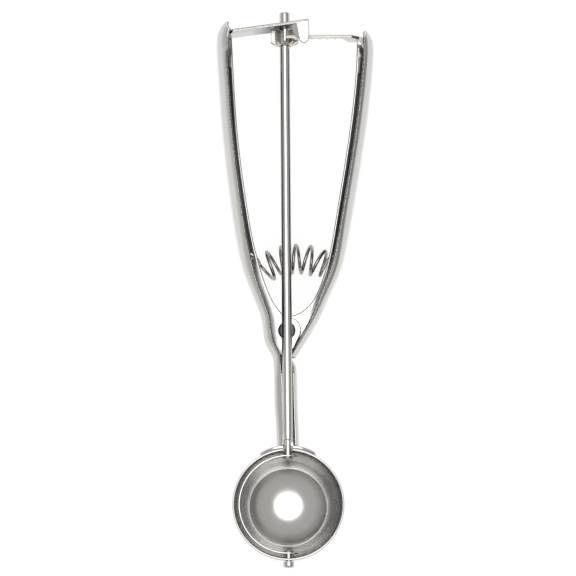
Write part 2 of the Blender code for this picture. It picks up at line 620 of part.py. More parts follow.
def make_bearing_arm(parts, tools, frame, material):
    """Bracket in the fixed grip's top: leg, bend, sloped plate with the rod's hole, guard tab."""
    leg_x = FIXED_OUTER[12][1] + SHEET + GAP + 0.7
    plate = []
    bend_y = plate_top(leg_x)
    plate.append((leg_x + ARM_LEG_TILT * ARM_LEG, bend_y - ARM_LEG))
    for k in range(6):
        a = math.radians(180.0 - (90.0 - ARM_TILT_ANGLE) * k / 5)
        plate.append((leg_x + ARM_BEND + ARM_BEND * math.cos(a), bend_y - ARM_BEND + ARM_BEND * math.sin(a)))
    plate.append((TAB_RIGHT, plate_top(TAB_RIGHT)))
    lower = [(TAB_RIGHT, plate_top(TAB_RIGHT) - SHEET)]
    inner_bend = ARM_BEND - SHEET
    for k in range(6):
        a = math.radians(90.0 + ARM_TILT_ANGLE + (90.0 - ARM_TILT_ANGLE) * k / 5)
        lower.append((leg_x + ARM_BEND + inner_bend * math.cos(a),
                      bend_y - ARM_BEND + inner_bend * math.sin(a)))
    lower.append((leg_x + SHEET + ARM_LEG_TILT * ARM_LEG, bend_y - ARM_LEG))
    mesh = outline_mesh("bearing_arm", plate + lower, ARM_REAR_Z, ARM_FRONT_Z, "Z")
    arm = add("bearing_arm", mesh, parts, frame, material)
    tab_top = plate_top(TAB_RIGHT)
    drop = tab_top - TAB_DROP
    tab = [(TAB_LEFT, plate_top(TAB_LEFT) - SHEET / 2), (TAB_LEFT + 0.7, drop + 3.4)]
    for k in range(9):
        a = math.radians(180.0 + 180.0 * k / 8)
        tab.append((TAB_LEFT + 2.95 + 1.95 * math.cos(a), drop + 2.2 + 2.2 * math.sin(a)))
    tab += [(TAB_RIGHT + 0.2, drop + 4.6), (TAB_RIGHT, tab_top - SHEET / 2)]
    tab_mesh = outline_mesh("guard_tab", tab, ARM_FRONT_Z - SHEET, ARM_FRONT_Z, "Z")
    cut(arm, make_cutter(tab_mesh, tools, frame), "UNION")
    back = ARM_FRONT_Z - SHEET
    corners = ((TAB_LEFT - 1.2, plate_top(TAB_LEFT - 1.2) - 0.3, 0.5),
               (TAB_LEFT - TAB_FACET, drop + 6.0, 0.4), (TAB_LEFT - 0.3, drop + 2.6, 0.4),
               (TAB_LEFT + 1.5, drop + 1.0, SHEET), (TAB_LEFT + 1.0, drop + 5.0, SHEET),
               (TAB_LEFT + 0.5, plate_top(TAB_LEFT) - 0.3, SHEET))
    facet = [(x, y, z) for x, y, thick in corners for z in (back, back + thick)]
    cut(arm, make_cutter(hull_mesh("tab_facet", facet), tools, frame), "UNION")
    hole = cylinder_mesh("arm_hole", ROD_RADIUS + GAP + 0.05, PINION_BOTTOM_Y, ROD_TOP, 24, axis="Y")
    cut(arm, make_cutter(hole, tools, frame))
    outer, wide = FIXED_OUTER[12][1], FIXED_OUTER[12][1] + ARM_WIDE_X
    narrow = outline_mesh("arm_narrow", ((ARM_LEG_FRONT_Z, outer), (2.0 * ARM_FRONT_Z, outer),
                                         (2.0 * ARM_FRONT_Z, wide), (ARM_FRONT_Z, wide),
                                         (ARM_NARROW_Z, outer + ARM_NARROW_X),
                                         (ARM_LEG_FRONT_Z, leg_x + SHEET)),
                          bend_y - 2.0 * ARM_LEG, ROD_TOP, "Y")
    cut(arm, make_cutter(narrow, tools, frame))


def coil_point(turn):
    swing = math.radians(SPRING_FIRST_TOP_ANGLE + SPRING_PITCH_ANGLE * turn)
    phase = 2.0 * math.pi * turn
    reach = SPRING_ARCH + SPRING_COIL * math.cos(phase)
    return Vector((SPRING_ARCH_X + reach * math.sin(swing), SPRING_ARCH_Y + reach * math.cos(swing),
                   SPRING_Z - SPRING_COIL * math.sin(phase)))


def hook_places():
    """Where the spring goes through each web: X of the hole and the web's back."""
    dy = HOOK_Y - PIVOT_Y
    left = handle_curve(FIXED_OUTER)(dy) + HOOK_INSET
    right = handle_curve(LEVER_OUTER)(dy) - HOOK_INSET
    return (left, WEB_BACK_Z), (right, LEVER_BACK_Z)


def hook_points(turn, ahead, hole_x, back, sweep, aim):
    """From the coil's end along the web's back, then forward through the hole."""
    start = coil_point(turn)
    pull = (start - coil_point(turn - ahead * 0.02)).normalized()
    behind = back - SPRING_WIRE - GAP
    elbow = Vector((hole_x - math.copysign(HOOK_BEND, hole_x), HOOK_Y, behind))
    aim = Vector(aim).normalized()
    span = (elbow - start).length
    points = []
    for k in range(1, 6):
        t = k / 5
        points.append((1 - t) ** 3 * start + 3 * (1 - t) ** 2 * t * (start + pull * span * sweep)
                      + 3 * (1 - t) * t ** 2 * (elbow - aim * span * 0.35) + t ** 3 * elbow)
    for k in range(1, 4):
        a = math.radians(30.0 * k)
        points.append(Vector((elbow.x + math.copysign(HOOK_BEND * math.sin(a), hole_x), HOOK_Y,
                              behind + HOOK_BEND * (1.0 - math.cos(a)))))
    points.append(Vector((hole_x, HOOK_Y, back + SHEET + HOOK_PAST_WEB)))
    return points


def spring_points():
    """Centre line of the spring: hook, coil along an arch, hook, in millimetres."""
    turns = SPRING_END_TURNS - SPRING_START_TURNS
    count = round(turns * CURL_POINT_COUNT)
    coil = [coil_point(SPRING_START_TURNS + turns * k / count) for k in range(count + 1)]
    (left, left_back), (right, right_back) = hook_places()
    first = hook_points(SPRING_START_TURNS, -1.0, left, left_back, 0.35, (-1.0, 0.2, 0.2))
    last = hook_points(SPRING_END_TURNS, 1.0, right, right_back, 0.95, (0.75, 0.65, 0.0))
    return first[::-1] + coil + last


def least_gap(points, radius):
    """Least clear distance between stretches of a tube that are not neighbours along it."""
    least = 1e9
    for i, a in enumerate(points):
        for b in points[i + CURL_POINT_COUNT // 2:]:
            least = min(least, (a - b).length - 2.0 * radius)
    return least


def make_spring(parts, frame, material):
    points = spring_points()
    print("return_spring least gap to itself, mm:", round(least_gap(points, SPRING_WIRE), 3))
    curve = bpy.data.curves.new("return_spring", "CURVE")
    curve.dimensions = "3D"
    curve.bevel_depth = SPRING_WIRE * MM
    curve.bevel_resolution = 1
    curve.use_fill_caps = True
    spline = curve.splines.new("POLY")
    spline.points.add(len(points) - 1)
    for point, place in zip(spline.points, points):
        point.co = (*(place * MM), 1.0)
    curve.materials.append(material)
    spring = bpy.data.objects.new("return_spring", curve)
    spring.parent = frame
    parts.objects.link(spring)


def make_scoop():
    for obj in list(bpy.data.objects):
        bpy.data.objects.remove(obj)
    parts = collection("cookie_scoop")
    tools = collection("cutters")
    frame = bpy.data.objects.new("scoop_frame", None)
    lever = bpy.data.objects.new("lever_axis", None)
    spin = bpy.data.objects.new("rod_axis", None)
    for empty in (frame, lever, spin):
        parts.objects.link(empty)
    lever.parent = spin.parent = frame
    lever.location = (0.0, PIVOT_Y * MM, 0.0)
    bpy.context.view_layer.update()

    polished = steel("polished steel", (0.62, 0.61, 0.59), 0.12)
    drawn = steel("drawn bowl steel", (0.60, 0.59, 0.57), 0.16)
    bright = steel("bright rod steel", (0.66, 0.65, 0.63), 0.10)
    geared = steel("machined gear steel", (0.55, 0.54, 0.51), 0.25)
    wire = steel("spring wire steel", (0.50, 0.49, 0.46), 0.20)

    make_bowl(parts, tools, frame, drawn)
    make_saddle(parts, tools, frame, polished)
    make_fixed_handle(parts, tools, frame, polished)
    make_lever_handle(parts, tools, lever, polished)
    make_rivet(parts, frame, polished)
    make_rod(parts, spin, bright)
    make_bottom_pin(parts, spin, bright)
    make_scraper(parts, tools, spin, bright)
    make_pinion(parts, tools, spin, geared)
    make_rack(parts, tools, lever, geared)
    make_bearing_arm(parts, tools, frame, polished)
    make_spring(parts, frame, wire)

    left, right = FIXED_OUTER[12][1], LEVER_OUTER[7][1]
    bottom = -(BOWL_RADIUS + BOWL_WALL + GAP + PIN_HEAD_LENGTH)
    frame.location = Vector((-(left + right) / 2.0, -(ROD_TOP + bottom) / 2.0, BOWL_DEPTH + BOWL_WALL)) * MM


make_scoop()
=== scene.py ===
"""Looks of the squeeze-handle cookie scoop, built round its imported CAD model.

Shapes are drawn in millimetres in the scoop's own frame, as in the part's source: heights along +Y
from the bowl's centre, the rod's axis at X = 0, Z = 0. dress() moves them to the model's frame.
"""

import math

import bmesh
import bpy
import numpy as np
from mathutils import Matrix, Vector
from mathutils.bvhtree import BVHTree


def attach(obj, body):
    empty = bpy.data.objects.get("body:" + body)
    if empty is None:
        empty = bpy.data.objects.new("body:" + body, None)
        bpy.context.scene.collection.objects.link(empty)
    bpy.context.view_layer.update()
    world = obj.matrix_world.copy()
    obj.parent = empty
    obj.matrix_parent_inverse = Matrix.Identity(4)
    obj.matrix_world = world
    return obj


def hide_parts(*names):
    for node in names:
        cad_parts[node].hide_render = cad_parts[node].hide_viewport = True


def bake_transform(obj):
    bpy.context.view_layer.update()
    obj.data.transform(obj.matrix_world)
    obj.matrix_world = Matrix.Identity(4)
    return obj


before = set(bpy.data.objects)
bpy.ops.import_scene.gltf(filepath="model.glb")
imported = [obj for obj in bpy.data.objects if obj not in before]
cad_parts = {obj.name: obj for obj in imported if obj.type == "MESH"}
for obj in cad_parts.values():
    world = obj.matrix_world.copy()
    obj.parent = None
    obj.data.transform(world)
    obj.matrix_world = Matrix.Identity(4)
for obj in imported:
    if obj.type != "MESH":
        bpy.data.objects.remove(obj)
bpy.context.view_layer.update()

MM = 0.001
SHIFT = Vector((-4.0, -83.55, 20.4))
GAP = 0.3
SHEET = 1.2
TOOL_REACH = 5.0

# Bowl and the saddle that carries it. Angles are in degrees
BOWL_RADIUS = 20.8
BOWL_WALL = 0.8
BOWL_RIM_Z = 2.4
BOWL_RIM_CROWN = 0.7
BOWL_FLOOR_RADIUS = 15.0
BOWL_DEPTH = 19.6
BOWL_MIDDLE_Z = -4.0
BOWL_SHARP_ANGLE = 45.0
CREASE_FILLET = 0.35
# Painted dark reflection on the bowl's inner wall: how dark, its fade beyond the crease, and the sideways
# share where it starts and is full
BOWL_PAINTED_REFLECTION = 0.5
BOWL_PAINTED_REFLECTION_BLUR = 1.5
BOWL_PAINTED_REFLECTION_SIDES = (0.2, 0.9)
ROD_NOTCH_HALF = 1.9
SADDLE_SHEET = 1.0
SADDLE_HALF_ANGLE = 29.0
SADDLE_FRONT_Z = 1.0
SADDLE_REAR_Z = -8.6
SADDLE_TAPER = 0.96
SADDLE_EDGE = 0.25

# Rod, scraper and bottom pin
ROD_RADIUS = 1.95
ROD_TOP = 191.4
ROD_TOP_ROUND = 0.5
ROD_STEP_Y = 24.9
ROD_TAPER = 3.4
ROD_TIP_RADIUS = 1.3
PEEN_RADIUS = 2.0
PEEN_THICK = 0.6
SCRAPER_RADIUS = 19.0
SCRAPER_SHEET = 0.5
SCRAPER_HALF_WIDTH = 3.4
SCRAPER_REST_TILT = 3.0
SCRAPER_TAB_TAPER = 0.985
SCRAPER_EDGE = 0.16
PIN_RADIUS = 1.1
PIN_HEAD_RADIUS = 2.1
PIN_HEAD_LENGTH = 2.4

# Handles and rivet. GRIP_CORNER and LIP_ARC are eased from the first value to the second between the
# heights LOW_GRIP_BETWEEN. Only between the heights WORN_AND_SHADED_EDGES do cut edges keep their darkened
# marks, which are partly a worn finish and partly painted edge shade
PIVOT_Y = 68.0
RACK_Y = 180.7
RACK_REACH = 112.7
RIVET_RADIUS = 1.5
RIVET_HEAD_RADIUS = 3.4
RIVET_HEAD_HIGH = 1.5
RIVET_BRIM_HIGH = 0.4
RIVET_TAIL_HIGH = 1.1
RIVET_TAIL_ROUND = 0.85
WEB_BACK_Z = -7.6
LEVER_BACK_Z = -9.1
GRIP_CORNER = (6.0, 4.0)
LIP_ARC = (45.0, 58.0)
LOW_GRIP_BETWEEN = (45.0, 12.0)
BACK_CORNER_SHARE = (0.72, 0.42)
BACK_CORNER_LEAST = 1.15
WALL_BULGE = 0.04
WEB_RISE = 0.22
WEB_RISE_BELOW = (15.0, 40.0)
WEB_RISE_ABOVE = (114.0, 104.0)
NECK_BEND = 3.6
NECK_WALL = 0.9
NECK_CURL = 3.0
NECK_CURL_TURN = math.radians(55.0)
EDGE_ROUND = 0.38
EDGE_ROOM = 0.45
EDGE_MOVE = 0.6
FLAT_EDGE = 0.5
WORN_AND_SHADED_EDGES = (-17.0, 112.5)
HOLE_PLAY = 0.5

# Pinion and rack
PINION_TEETH = 10
GEAR_MODULE = 0.95
PITCH_RADIUS = 4.75
TOOTH_HALF_ROOT = 0.80
TOOTH_HALF_TIP = 0.32
ADDENDUM = 0.78
DEDENDUM = 1.1
PINION_FACE = 5.7
PINION_BOTTOM_Y = 178.3
PINION_CONE = 1.4
PINION_EDGE = 0.13
RACK_TEETH = 7
RACK_SHEET = 1.2
RACK_FRONT_Z = 8.15
RACK_LEG = 12.0
RACK_LEG_BACK_Z = -3.5
RACK_LEG_FRONT_Z = 3.6
RACK_LEG_GAP = 0.3
RACK_LEAD = 0.2
RACK_PLAIN = 1.5
RACK_TAPER = 3.0
RACK_BEND = 2.2
RACK_EDGE = 0.2

# Bearing arm and its guard tab
ARM_TILT = 7.0
ARM_HOLE_Y = 185.7
ARM_REAR_Z = -5.2
ARM_FRONT_Z = 9.65
ARM_LEG = 12.0
ARM_LEG_INSET = 0.7
ARM_LEG_TILT = 0.055
ARM_BEND = 2.4
ARM_LEG_FRONT_Z = 2.4
ARM_NARROW_Z = 7.0
ARM_NARROW_X = 5.5
ARM_WIDE_X = 6.1
ARM_EDGE = 0.28
TAB_LEFT = 4.4
TAB_RIGHT = 9.2
TAB_DROP = 9.4
TAB_NOSE = (1.95, 2.2)
TAB_FACET = 1.9
TAB_EDGE = 0.34

# Return spring. Angles along its arch are in degrees
SPRING_WIRE = 0.66
SPRING_COIL = 5.4
SPRING_ARCH = 22.5
SPRING_ARCH_X = 4.0
SPRING_ARCH_Y = 73.6
SPRING_FIRST_TOP_ANGLE = -24.3
SPRING_PITCH_ANGLE = 12.1
SPRING_START_TURNS = -0.8
SPRING_END_TURNS = 4.3
SPRING_Z = -8.46
TURN_STEPS = 48
HOOK_Y = 97.0
HOOK_BEND = 1.0
HOOK_PAST_WEB = 0.8
HOOK_POINT = 0.45
HOOK_POINT_SHARE = 0.25
HOOK_INSET = 4.2

# Handle outlines: height from the pivot, then X or Z
FIXED_OUTER = ((-49.5, -4.1), (-37.0, -4.5), (-28.0, -4.9), (-16.6, -5.0), (-12.0, -5.25), (-4.5, -8.5),
               (4.0, -9.65), (10.7, -12.0), (24.0, -16.8), (41.2, -20.1), (80.0, -24.5), (94.5, -25.4),
               (110.0, -26.2), (114.2, -26.0), (116.6, -25.1), (117.6, -24.4), (118.8, -23.2))
FIXED_INNER = ((-49.5, 4.4), (-30.0, 3.9), (-15.0, 3.6), (-12.5, 2.6), (-11.3, 1.1), (-10.4, 0.4),
               (-8.0, 2.1), (-6.0, 3.3), (-4.2, 4.1), (-2.8, 4.85), (0.0, 5.6), (2.8, 4.85), (4.2, 3.7),
               (5.6, 0.0), (7.2, -2.3), (12.2, -5.7), (25.9, -10.5), (43.4, -14.2), (82.6, -18.9),
               (118.8, -20.7))
FIXED_LIP = ((-49.5, 2.5), (-37.0, 2.85), (-28.0, 3.2), (-20.0, 3.1), (-16.0, 2.75), (-12.0, 2.5),
             (-8.0, 2.9), (-4.0, 2.9), (0.0, 2.6), (12.0, 2.8), (24.0, 3.4), (104.0, 3.2), (106.8, 3.3),
             (109.0, 4.2), (115.3, 4.0), (117.5, 1.9), (118.8, 0.5))
FIXED_FRONT = ((-49.5, -1.65), (-22.0, -1.65), (-16.0, -0.9), (-12.0, 0.1), (-6.0, 2.2), (12.0, 6.4),
               (40.0, 8.6), (60.0, 9.0), (118.8, 9.0))
FIXED_BACK_CORNER = ((-49.5, 2.8), (-14.0, 2.8), (-4.0, 3.6), (12.0, 3.4), (118.8, 3.2))
LEVER_OUTER = ((-10.7, 3.2), (-4.4, 7.3), (4.0, 12.3), (10.8, 15.4), (24.0, 21.1), (41.3, 24.9),
               (99.1, 33.6), (108.0, 34.2), (111.4, 34.0), (113.2, 33.3), (114.2, 32.6), (114.8, 31.9))
LEVER_INNER = ((-10.7, 1.2), (-8.0, 2.6), (-6.4, 2.4), (-5.5, 0.8), (-5.0, -2.5), (-3.4, -4.45),
               (0.0, -5.6), (3.4, -4.45), (5.0, -2.5), (5.8, 1.8), (7.5, 6.0), (12.4, 10.6),
               (26.1, 15.8), (43.6, 19.3), (102.4, 27.7), (114.8, 28.3))
LEVER_LIP = ((-10.7, 1.9), (0.0, 2.4), (10.0, 2.8), (22.0, 3.4), (111.0, 3.3), (113.2, 2.3),
             (114.8, 0.6))
LEVER_FRONT = ((-10.7, -3.0), (-8.0, -0.8), (-4.0, 1.0), (12.0, 5.2), (40.0, 7.8), (60.0, 8.4),
               (114.8, 8.4))
LEVER_BACK_CORNER = ((-10.7, 1.8), (8.0, 2.2), (18.0, 3.2), (114.8, 3.2))
FIXED_TABLES = (FIXED_OUTER, FIXED_INNER, FIXED_LIP, FIXED_FRONT, FIXED_BACK_CORNER)
LEVER_TABLES = (LEVER_OUTER, LEVER_INNER, LEVER_LIP, LEVER_FRONT, LEVER_BACK_CORNER)
FIXED_WIDEST_X = min(x for dy, x in FIXED_OUTER)

# Painted shade inside the channels, dark under the lip: height from the pivot, then how dark, or how far
# beyond the lip
LEFT_DARK = ((-16.0, 0.0), (-12.0, 0.6), (-2.0, 0.9), (9.0, 0.98), (22.0, 0.95), (32.0, 0.85),
             (60.0, 0.75), (85.0, 0.9), (120.0, 0.9))
LEFT_DARK_REACH = ((-16.0, 0.0), (-2.0, 0.7), (9.0, 1.2), (22.0, 1.2), (34.0, 0.7), (60.0, 0.1),
                   (90.0, 0.9), (120.0, 0.9))
LEFT_DARK_BLUR = 2.8
RIGHT_DARK = ((-12.0, 0.0), (2.0, 0.15), (8.0, 0.7), (14.0, 0.95), (120.0, 0.9))
RIGHT_DARK_REACH = ((-12.0, 0.0), (10.0, 1.5), (40.0, 1.1), (60.0, 0.9), (100.0, 0.5), (120.0, 0.5))
RIGHT_DARK_BLUR = 1.0

# Heights where the web folds into the neck, and the rows of the sheets: from, to, spacing
NECK_FOLD = (-13.5, -9.0)
NECK_TRIM_Y = 40.0
FIXED_ROWS = ((-49.5, -18.0, 1.5), (-18.0, -12.0, 0.3), (-12.0, 7.2, 0.3), (7.2, 13.0, 0.5),
              (13.0, 101.0, 2.0), (101.0, 109.0, 0.5), (109.0, 118.3, 0.3), (118.3, 118.8, 0.5))
LEVER_ROWS = ((-10.7, -10.2, 0.5), (-10.2, 7.5, 0.3), (7.5, 13.0, 0.5), (13.0, 105.0, 2.0),
              (105.0, 110.0, 0.5), (110.0, 114.3, 0.2), (114.3, 114.8, 0.5))

# Studio, in metres. The room's stops are the sine of the height over the horizon, then the level.
# The floor's glow is its level near the scoop and far off, and the distances where they are reached
ROOM_LEFT = ((0.0, 0.80), (0.20, 0.70), (0.42, 0.60), (1.0, 0.57))
ROOM_RIGHT = ((0.0, 0.40), (0.20, 0.30), (0.42, 0.56), (1.0, 0.57))
FLOOR_REACH = 2.0
FLOOR_Z = -0.0004
FLOOR_GLOW = (1.10, 0.82, 0.18, 0.6)
FLOOR_GLOW_SHARE = 0.80
LAMP_PLACE = (-0.01, -0.1, 1.2)
LAMP_TARGET = (-0.004, -0.08, 0.0)
LAMP_RADIUS = 0.58
LAMP_LEVEL = 1.95
CAMERA_PLACE = (-0.020897, -0.233168, 2.004629)
CAMERA_TURN = (6.71293, -0.45148, -0.43945)
CAMERA_LENS = 323.666


# Mesh tools

def curve_through(points):
    """Smooth curve through (place, value) points that never overshoots them."""
    place, value = (np.array(column, float) for column in zip(*points))
    step = np.diff(place)
    slope = np.diff(value) / step
    ends = np.zeros(len(place))
    ends[0], ends[-1] = slope[0], slope[-1]
    for i in range(1, len(place) - 1):
        if slope[i - 1] * slope[i] > 0.0:
            ends[i] = 2.0 / (1.0 / slope[i - 1] + 1.0 / slope[i])

    def at(x):
        i = int(np.clip(np.searchsorted(place, x) - 1, 0, len(step) - 1))
        t = min(max((x - place[i]) / step[i], 0.0), 1.0)
        return ((2 * t ** 3 - 3 * t ** 2 + 1) * value[i] + (t ** 3 - 2 * t ** 2 + t) * step[i] * ends[i]
                + (3 * t ** 2 - 2 * t ** 3) * value[i + 1] + (t ** 3 - t ** 2) * step[i] * ends[i + 1])
    return at


def add_object(name, data):
    obj = bpy.data.objects.new(name, data)
    bpy.context.scene.collection.objects.link(obj)
    return obj


def blank(name):
    """Empty mesh object with two material slots: finished faces, and sheared or rounded-off edges."""
    obj = add_object(name, bpy.data.meshes.new(name))
    obj.data.materials.append(None)
    obj.data.materials.append(None)
    return obj


def sheet_object(name, rows, columns, surface):
    """Grid whose vertex in row i and column j lies at surface(i, j)."""
    obj = blank(name)
    bm = bmesh.new()
    bmesh.ops.create_grid(bm, x_segments=columns - 1, y_segments=rows - 1, size=1.0)
    for vert in bm.verts:
        j = round((vert.co.x + 1.0) / 2.0 * (columns - 1))
        i = round((vert.co.y + 1.0) / 2.0 * (rows - 1))
        vert.co = Vector(surface(i, j))
    bm.to_mesh(obj.data)
    bm.free()
    return obj


def outline_object(name, points, low, high, axis, sheared=None):
    """Closed outline in the two axes that follow axis, Y or Z, filled and extruded along axis.

    sheared is "caps" or "sides" for the faces that the press cut.
    """
    obj = blank(name)
    bm = bmesh.new()
    corners = [(b, low, a) if axis == "Y" else (a, b, low) for a, b in points]
    face = bm.faces.new([bm.verts.new(corner) for corner in corners])
    grown = bmesh.ops.extrude_face_region(bm, geom=[face])
    for item in grown["geom"]:
        if isinstance(item, bmesh.types.BMVert):
            item.co["XYZ".index(axis)] = high
    bmesh.ops.recalc_face_normals(bm, faces=bm.faces)
    for face in bm.faces:
        kind = "caps" if abs(face.normal["XYZ".index(axis)]) > 0.9 else "sides"
        face.material_index = 1 if kind == sheared else 0
    bm.to_mesh(obj.data)
    bm.free()
    return obj


def ring(radius, sides, center=(0.0, 0.0)):
    return [(center[0] + radius * math.cos(2 * math.pi * k / sides),
             center[1] + radius * math.sin(2 * math.pi * k / sides)) for k in range(sides)]


def arc_points(center, across, up, start, end, steps):
    """Points on an ellipse with half axes across and up, from start to end in degrees."""
    angles = [math.radians(start + (end - start) * k / steps) for k in range(steps + 1)]
    return [(center[0] + across * math.cos(a), center[1] + up * math.sin(a)) for a in angles]


def hole_tool(name, radius, low, high, axis="Y", center=(0.0, 0.0), sides=40):
    return outline_object(name, ring(radius, sides, center), low, high, axis)


def hull_object(name, points):
    """Convex solid round the points, for cutting or joining."""
    obj = blank(name)
    bm = bmesh.new()
    for point in points:
        bm.verts.new(point)
    bmesh.ops.convex_hull(bm, input=bm.verts)
    bmesh.ops.delete(bm, geom=[v for v in bm.verts if not v.link_faces], context="VERTS")
    bmesh.ops.recalc_face_normals(bm, faces=bm.faces)
    bm.to_mesh(obj.data)
    bm.free()
    return obj


def turned(name, profile, steps, axis="Y", origin=(0.0, 0.0, 0.0)):
    """Turn a profile of (radius, height) points, from axis to axis or closed, about Y or Z."""
    obj = blank(name)
    bm = bmesh.new()
    rows = []
    for radius, height in profile:
        row = []
        for a, b in ring(radius, steps) if radius > 0.0 else [(0.0, 0.0)]:
            local = (a, height, b) if axis == "Y" else (a, b, height)
            row.append(bm.verts.new(Vector(local) + Vector(origin)))
        rows.append(row)
    for low, high in zip(rows, rows[1:]):
        for k in range(steps):
            n = (k + 1) % steps
            corners = (low[k % len(low)], low[n % len(low)], high[n % len(high)], high[k % len(high)])
            corners = list(dict.fromkeys(corners))
            if len(corners) > 2:
                bm.faces.new(corners)
    if len(rows[0]) > 1:
        for k in range(steps):
            n = (k + 1) % steps
            bm.faces.new([rows[-1][k], rows[-1][n], rows[0][n], rows[0][k]])
    bmesh.ops.recalc_face_normals(bm, faces=bm.faces)
    bm.to_mesh(obj.data)
    bm.free()
    return obj


def thicken(obj, thickness, offset, sheared=True):
    """Give a sheet its thickness. sheared marks the rim as cut by the press."""
    mod = obj.modifiers.new("sheet", "SOLIDIFY")
    mod.thickness = thickness
    mod.offset = offset
    mod.use_even_offset = True
    mod.use_quality_normals = True
    mod.material_offset_rim = 1 if sheared else 0


def soften(obj, width, segments=3, angle=40.0, marked=True, clamp=False):
    """Round the edges sharper than angle. marked gives the rounding the darkened look of a worn edge, partly
    worn finish and partly painted shade.
    """
    mod = obj.modifiers.new("edge", "BEVEL")
    mod.material = 1 if marked else -1
    mod.width = width
    mod.segments = segments
    mod.limit_method = "ANGLE"
    mod.angle_limit = math.radians(angle)
    mod.use_clamp_overlap = clamp
    mod.loop_slide = False


def cut(obj, cutter, operation="DIFFERENCE", solver="EXACT"):
    mod = obj.modifiers.new(cutter.name, "BOOLEAN")
    mod.operation = operation
    mod.solver = solver
    mod.object = cutter


def finished_mesh(obj):
    bpy.context.view_layer.update()
    return bpy.data.meshes.new_from_object(obj.evaluated_get(bpy.context.evaluated_depsgraph_get()))


def bake(obj, *spent):
    """Apply all modifiers and remove the cutters that they used."""
    mesh = finished_mesh(obj)
    obj.modifiers.clear()
    obj.data = mesh
    for tool in spent:
        bpy.data.objects.remove(tool)


def paint(obj, name, value_at):
    """Store value_at(place, normal) of every vertex, in the scoop's own frame, for the materials."""
    layer = obj.data.attributes.new(name, "FLOAT", "POINT")
    for vert, item in zip(obj.data.vertices, layer.data):
        item.value = value_at(vert.co, vert.normal)


def dress(obj, nodes, body, material, sharp=38.0):
    mesh = obj.data
    mesh.transform(Matrix.Scale(MM, 4) @ Matrix.Translation(SHIFT))
    marks = np.zeros(len(mesh.polygons), np.int32)
    mesh.polygons.foreach_get("material_index", marks)
    mesh.attributes.new("cut_edge", "FLOAT", "FACE").data.foreach_set("value", marks.astype(np.float32))
    mesh.polygons.foreach_set("material_index", np.zeros(len(marks), np.int32))
    mesh.materials.clear()
    mesh.materials.append(material)
    mesh.shade_smooth()
    mesh.set_sharp_from_angle(angle=math.radians(sharp))
    mod = obj.modifiers.new("normals", "WEIGHTED_NORMAL")
    mod.keep_sharp = True
    bake(obj)
    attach(obj, body)
    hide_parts(*nodes)


# Materials

class Graph:
    """Small helper for shader node trees."""

    def __init__(self, tree):
        self.tree = tree

    def node(self, kind, **settings):
        node = self.tree.nodes.new(kind)
        for key, value in settings.items():
            setattr(node, key, value)
        return node

    def link(self, source, target):
        self.tree.links.new(source, target)

    def feed(self, sockets, *values):
        """Link outputs to the sockets, or set their plain values."""
        for socket, value in zip(sockets, values):
            if isinstance(value, bpy.types.NodeSocket):
                self.link(value, socket)
            else:
                socket.default_value = value

    def math(self, operation, *values):
        node = self.node("ShaderNodeMath", operation=operation)
        self.feed(node.inputs, *values)
        return node.outputs[0]

    def split(self, vector):
        node = self.node("ShaderNodeSeparateXYZ")
        self.link(vector, node.inputs[0])
        return node.outputs

    def noise(self, vector, scale, detail, rough, stretch=(1.0, 1.0, 1.0)):
        mapping = self.node("ShaderNodeMapping")
        self.feed((mapping.inputs["Vector"], mapping.inputs["Scale"]), vector, stretch)
        noise = self.node("ShaderNodeTexNoise")
        sockets = [noise.inputs[key] for key in ("Vector", "Scale", "Detail", "Roughness")]
        self.feed(sockets, mapping.outputs[0], scale, detail, rough)
        return noise.outputs["Fac"]

    def spread(self, value, low, high, start=0.3, end=0.7):
        """low where value is start, high where it is end."""
        node = self.node("ShaderNodeMapRange")
        self.feed(node.inputs, value, start, end, low, high)
        return node.outputs[0]

    def ramp(self, value, stops):
        """Smooth warm-grey ramp through (place, level) stops."""
        node = self.node("ShaderNodeValToRGB")
        node.color_ramp.interpolation = "EASE"
        for place, level in stops[1:-1]:
            node.color_ramp.elements.new(place)
        for element, (place, level) in zip(node.color_ramp.elements, stops):
            element.position = place
            element.color = (level, level * 0.985, level * 0.96, 1.0)
        self.link(value, node.inputs[0])
        return node.outputs[0]

    def mix(self, factor, a, b):
        node = self.node("ShaderNodeMix", data_type="RGBA")
        a, b = ((*color, 1.0) if isinstance(color, tuple) else color for color in (a, b))
        self.feed((node.inputs[0], node.inputs[6], node.inputs[7]), factor, a, b)
        return node.outputs[2]


def new_material(name):
    material = bpy.data.materials.new(name)
    material.use_nodes = True
    graph = Graph(material.node_tree)
    shader = material.node_tree.nodes["Principled BSDF"]
    return material, graph, shader


# Noise scales of the steel's marks, and how far its lines are drawn out along their direction
SMUDGES, CLOUDS, SPECKS = 90.0, 22.0, 1400.0
LINE_STRETCH = 0.012
RING_LINE_STRETCH = 0.02
# Colour and added roughness where shade is painted
PAINTED_SHADE_COLOR = (0.045, 0.047, 0.06)
PAINTED_SHADE_ROUGH = 0.14
CUT_ROUGH = 0.16
DENT_DEPTH = 0.0002


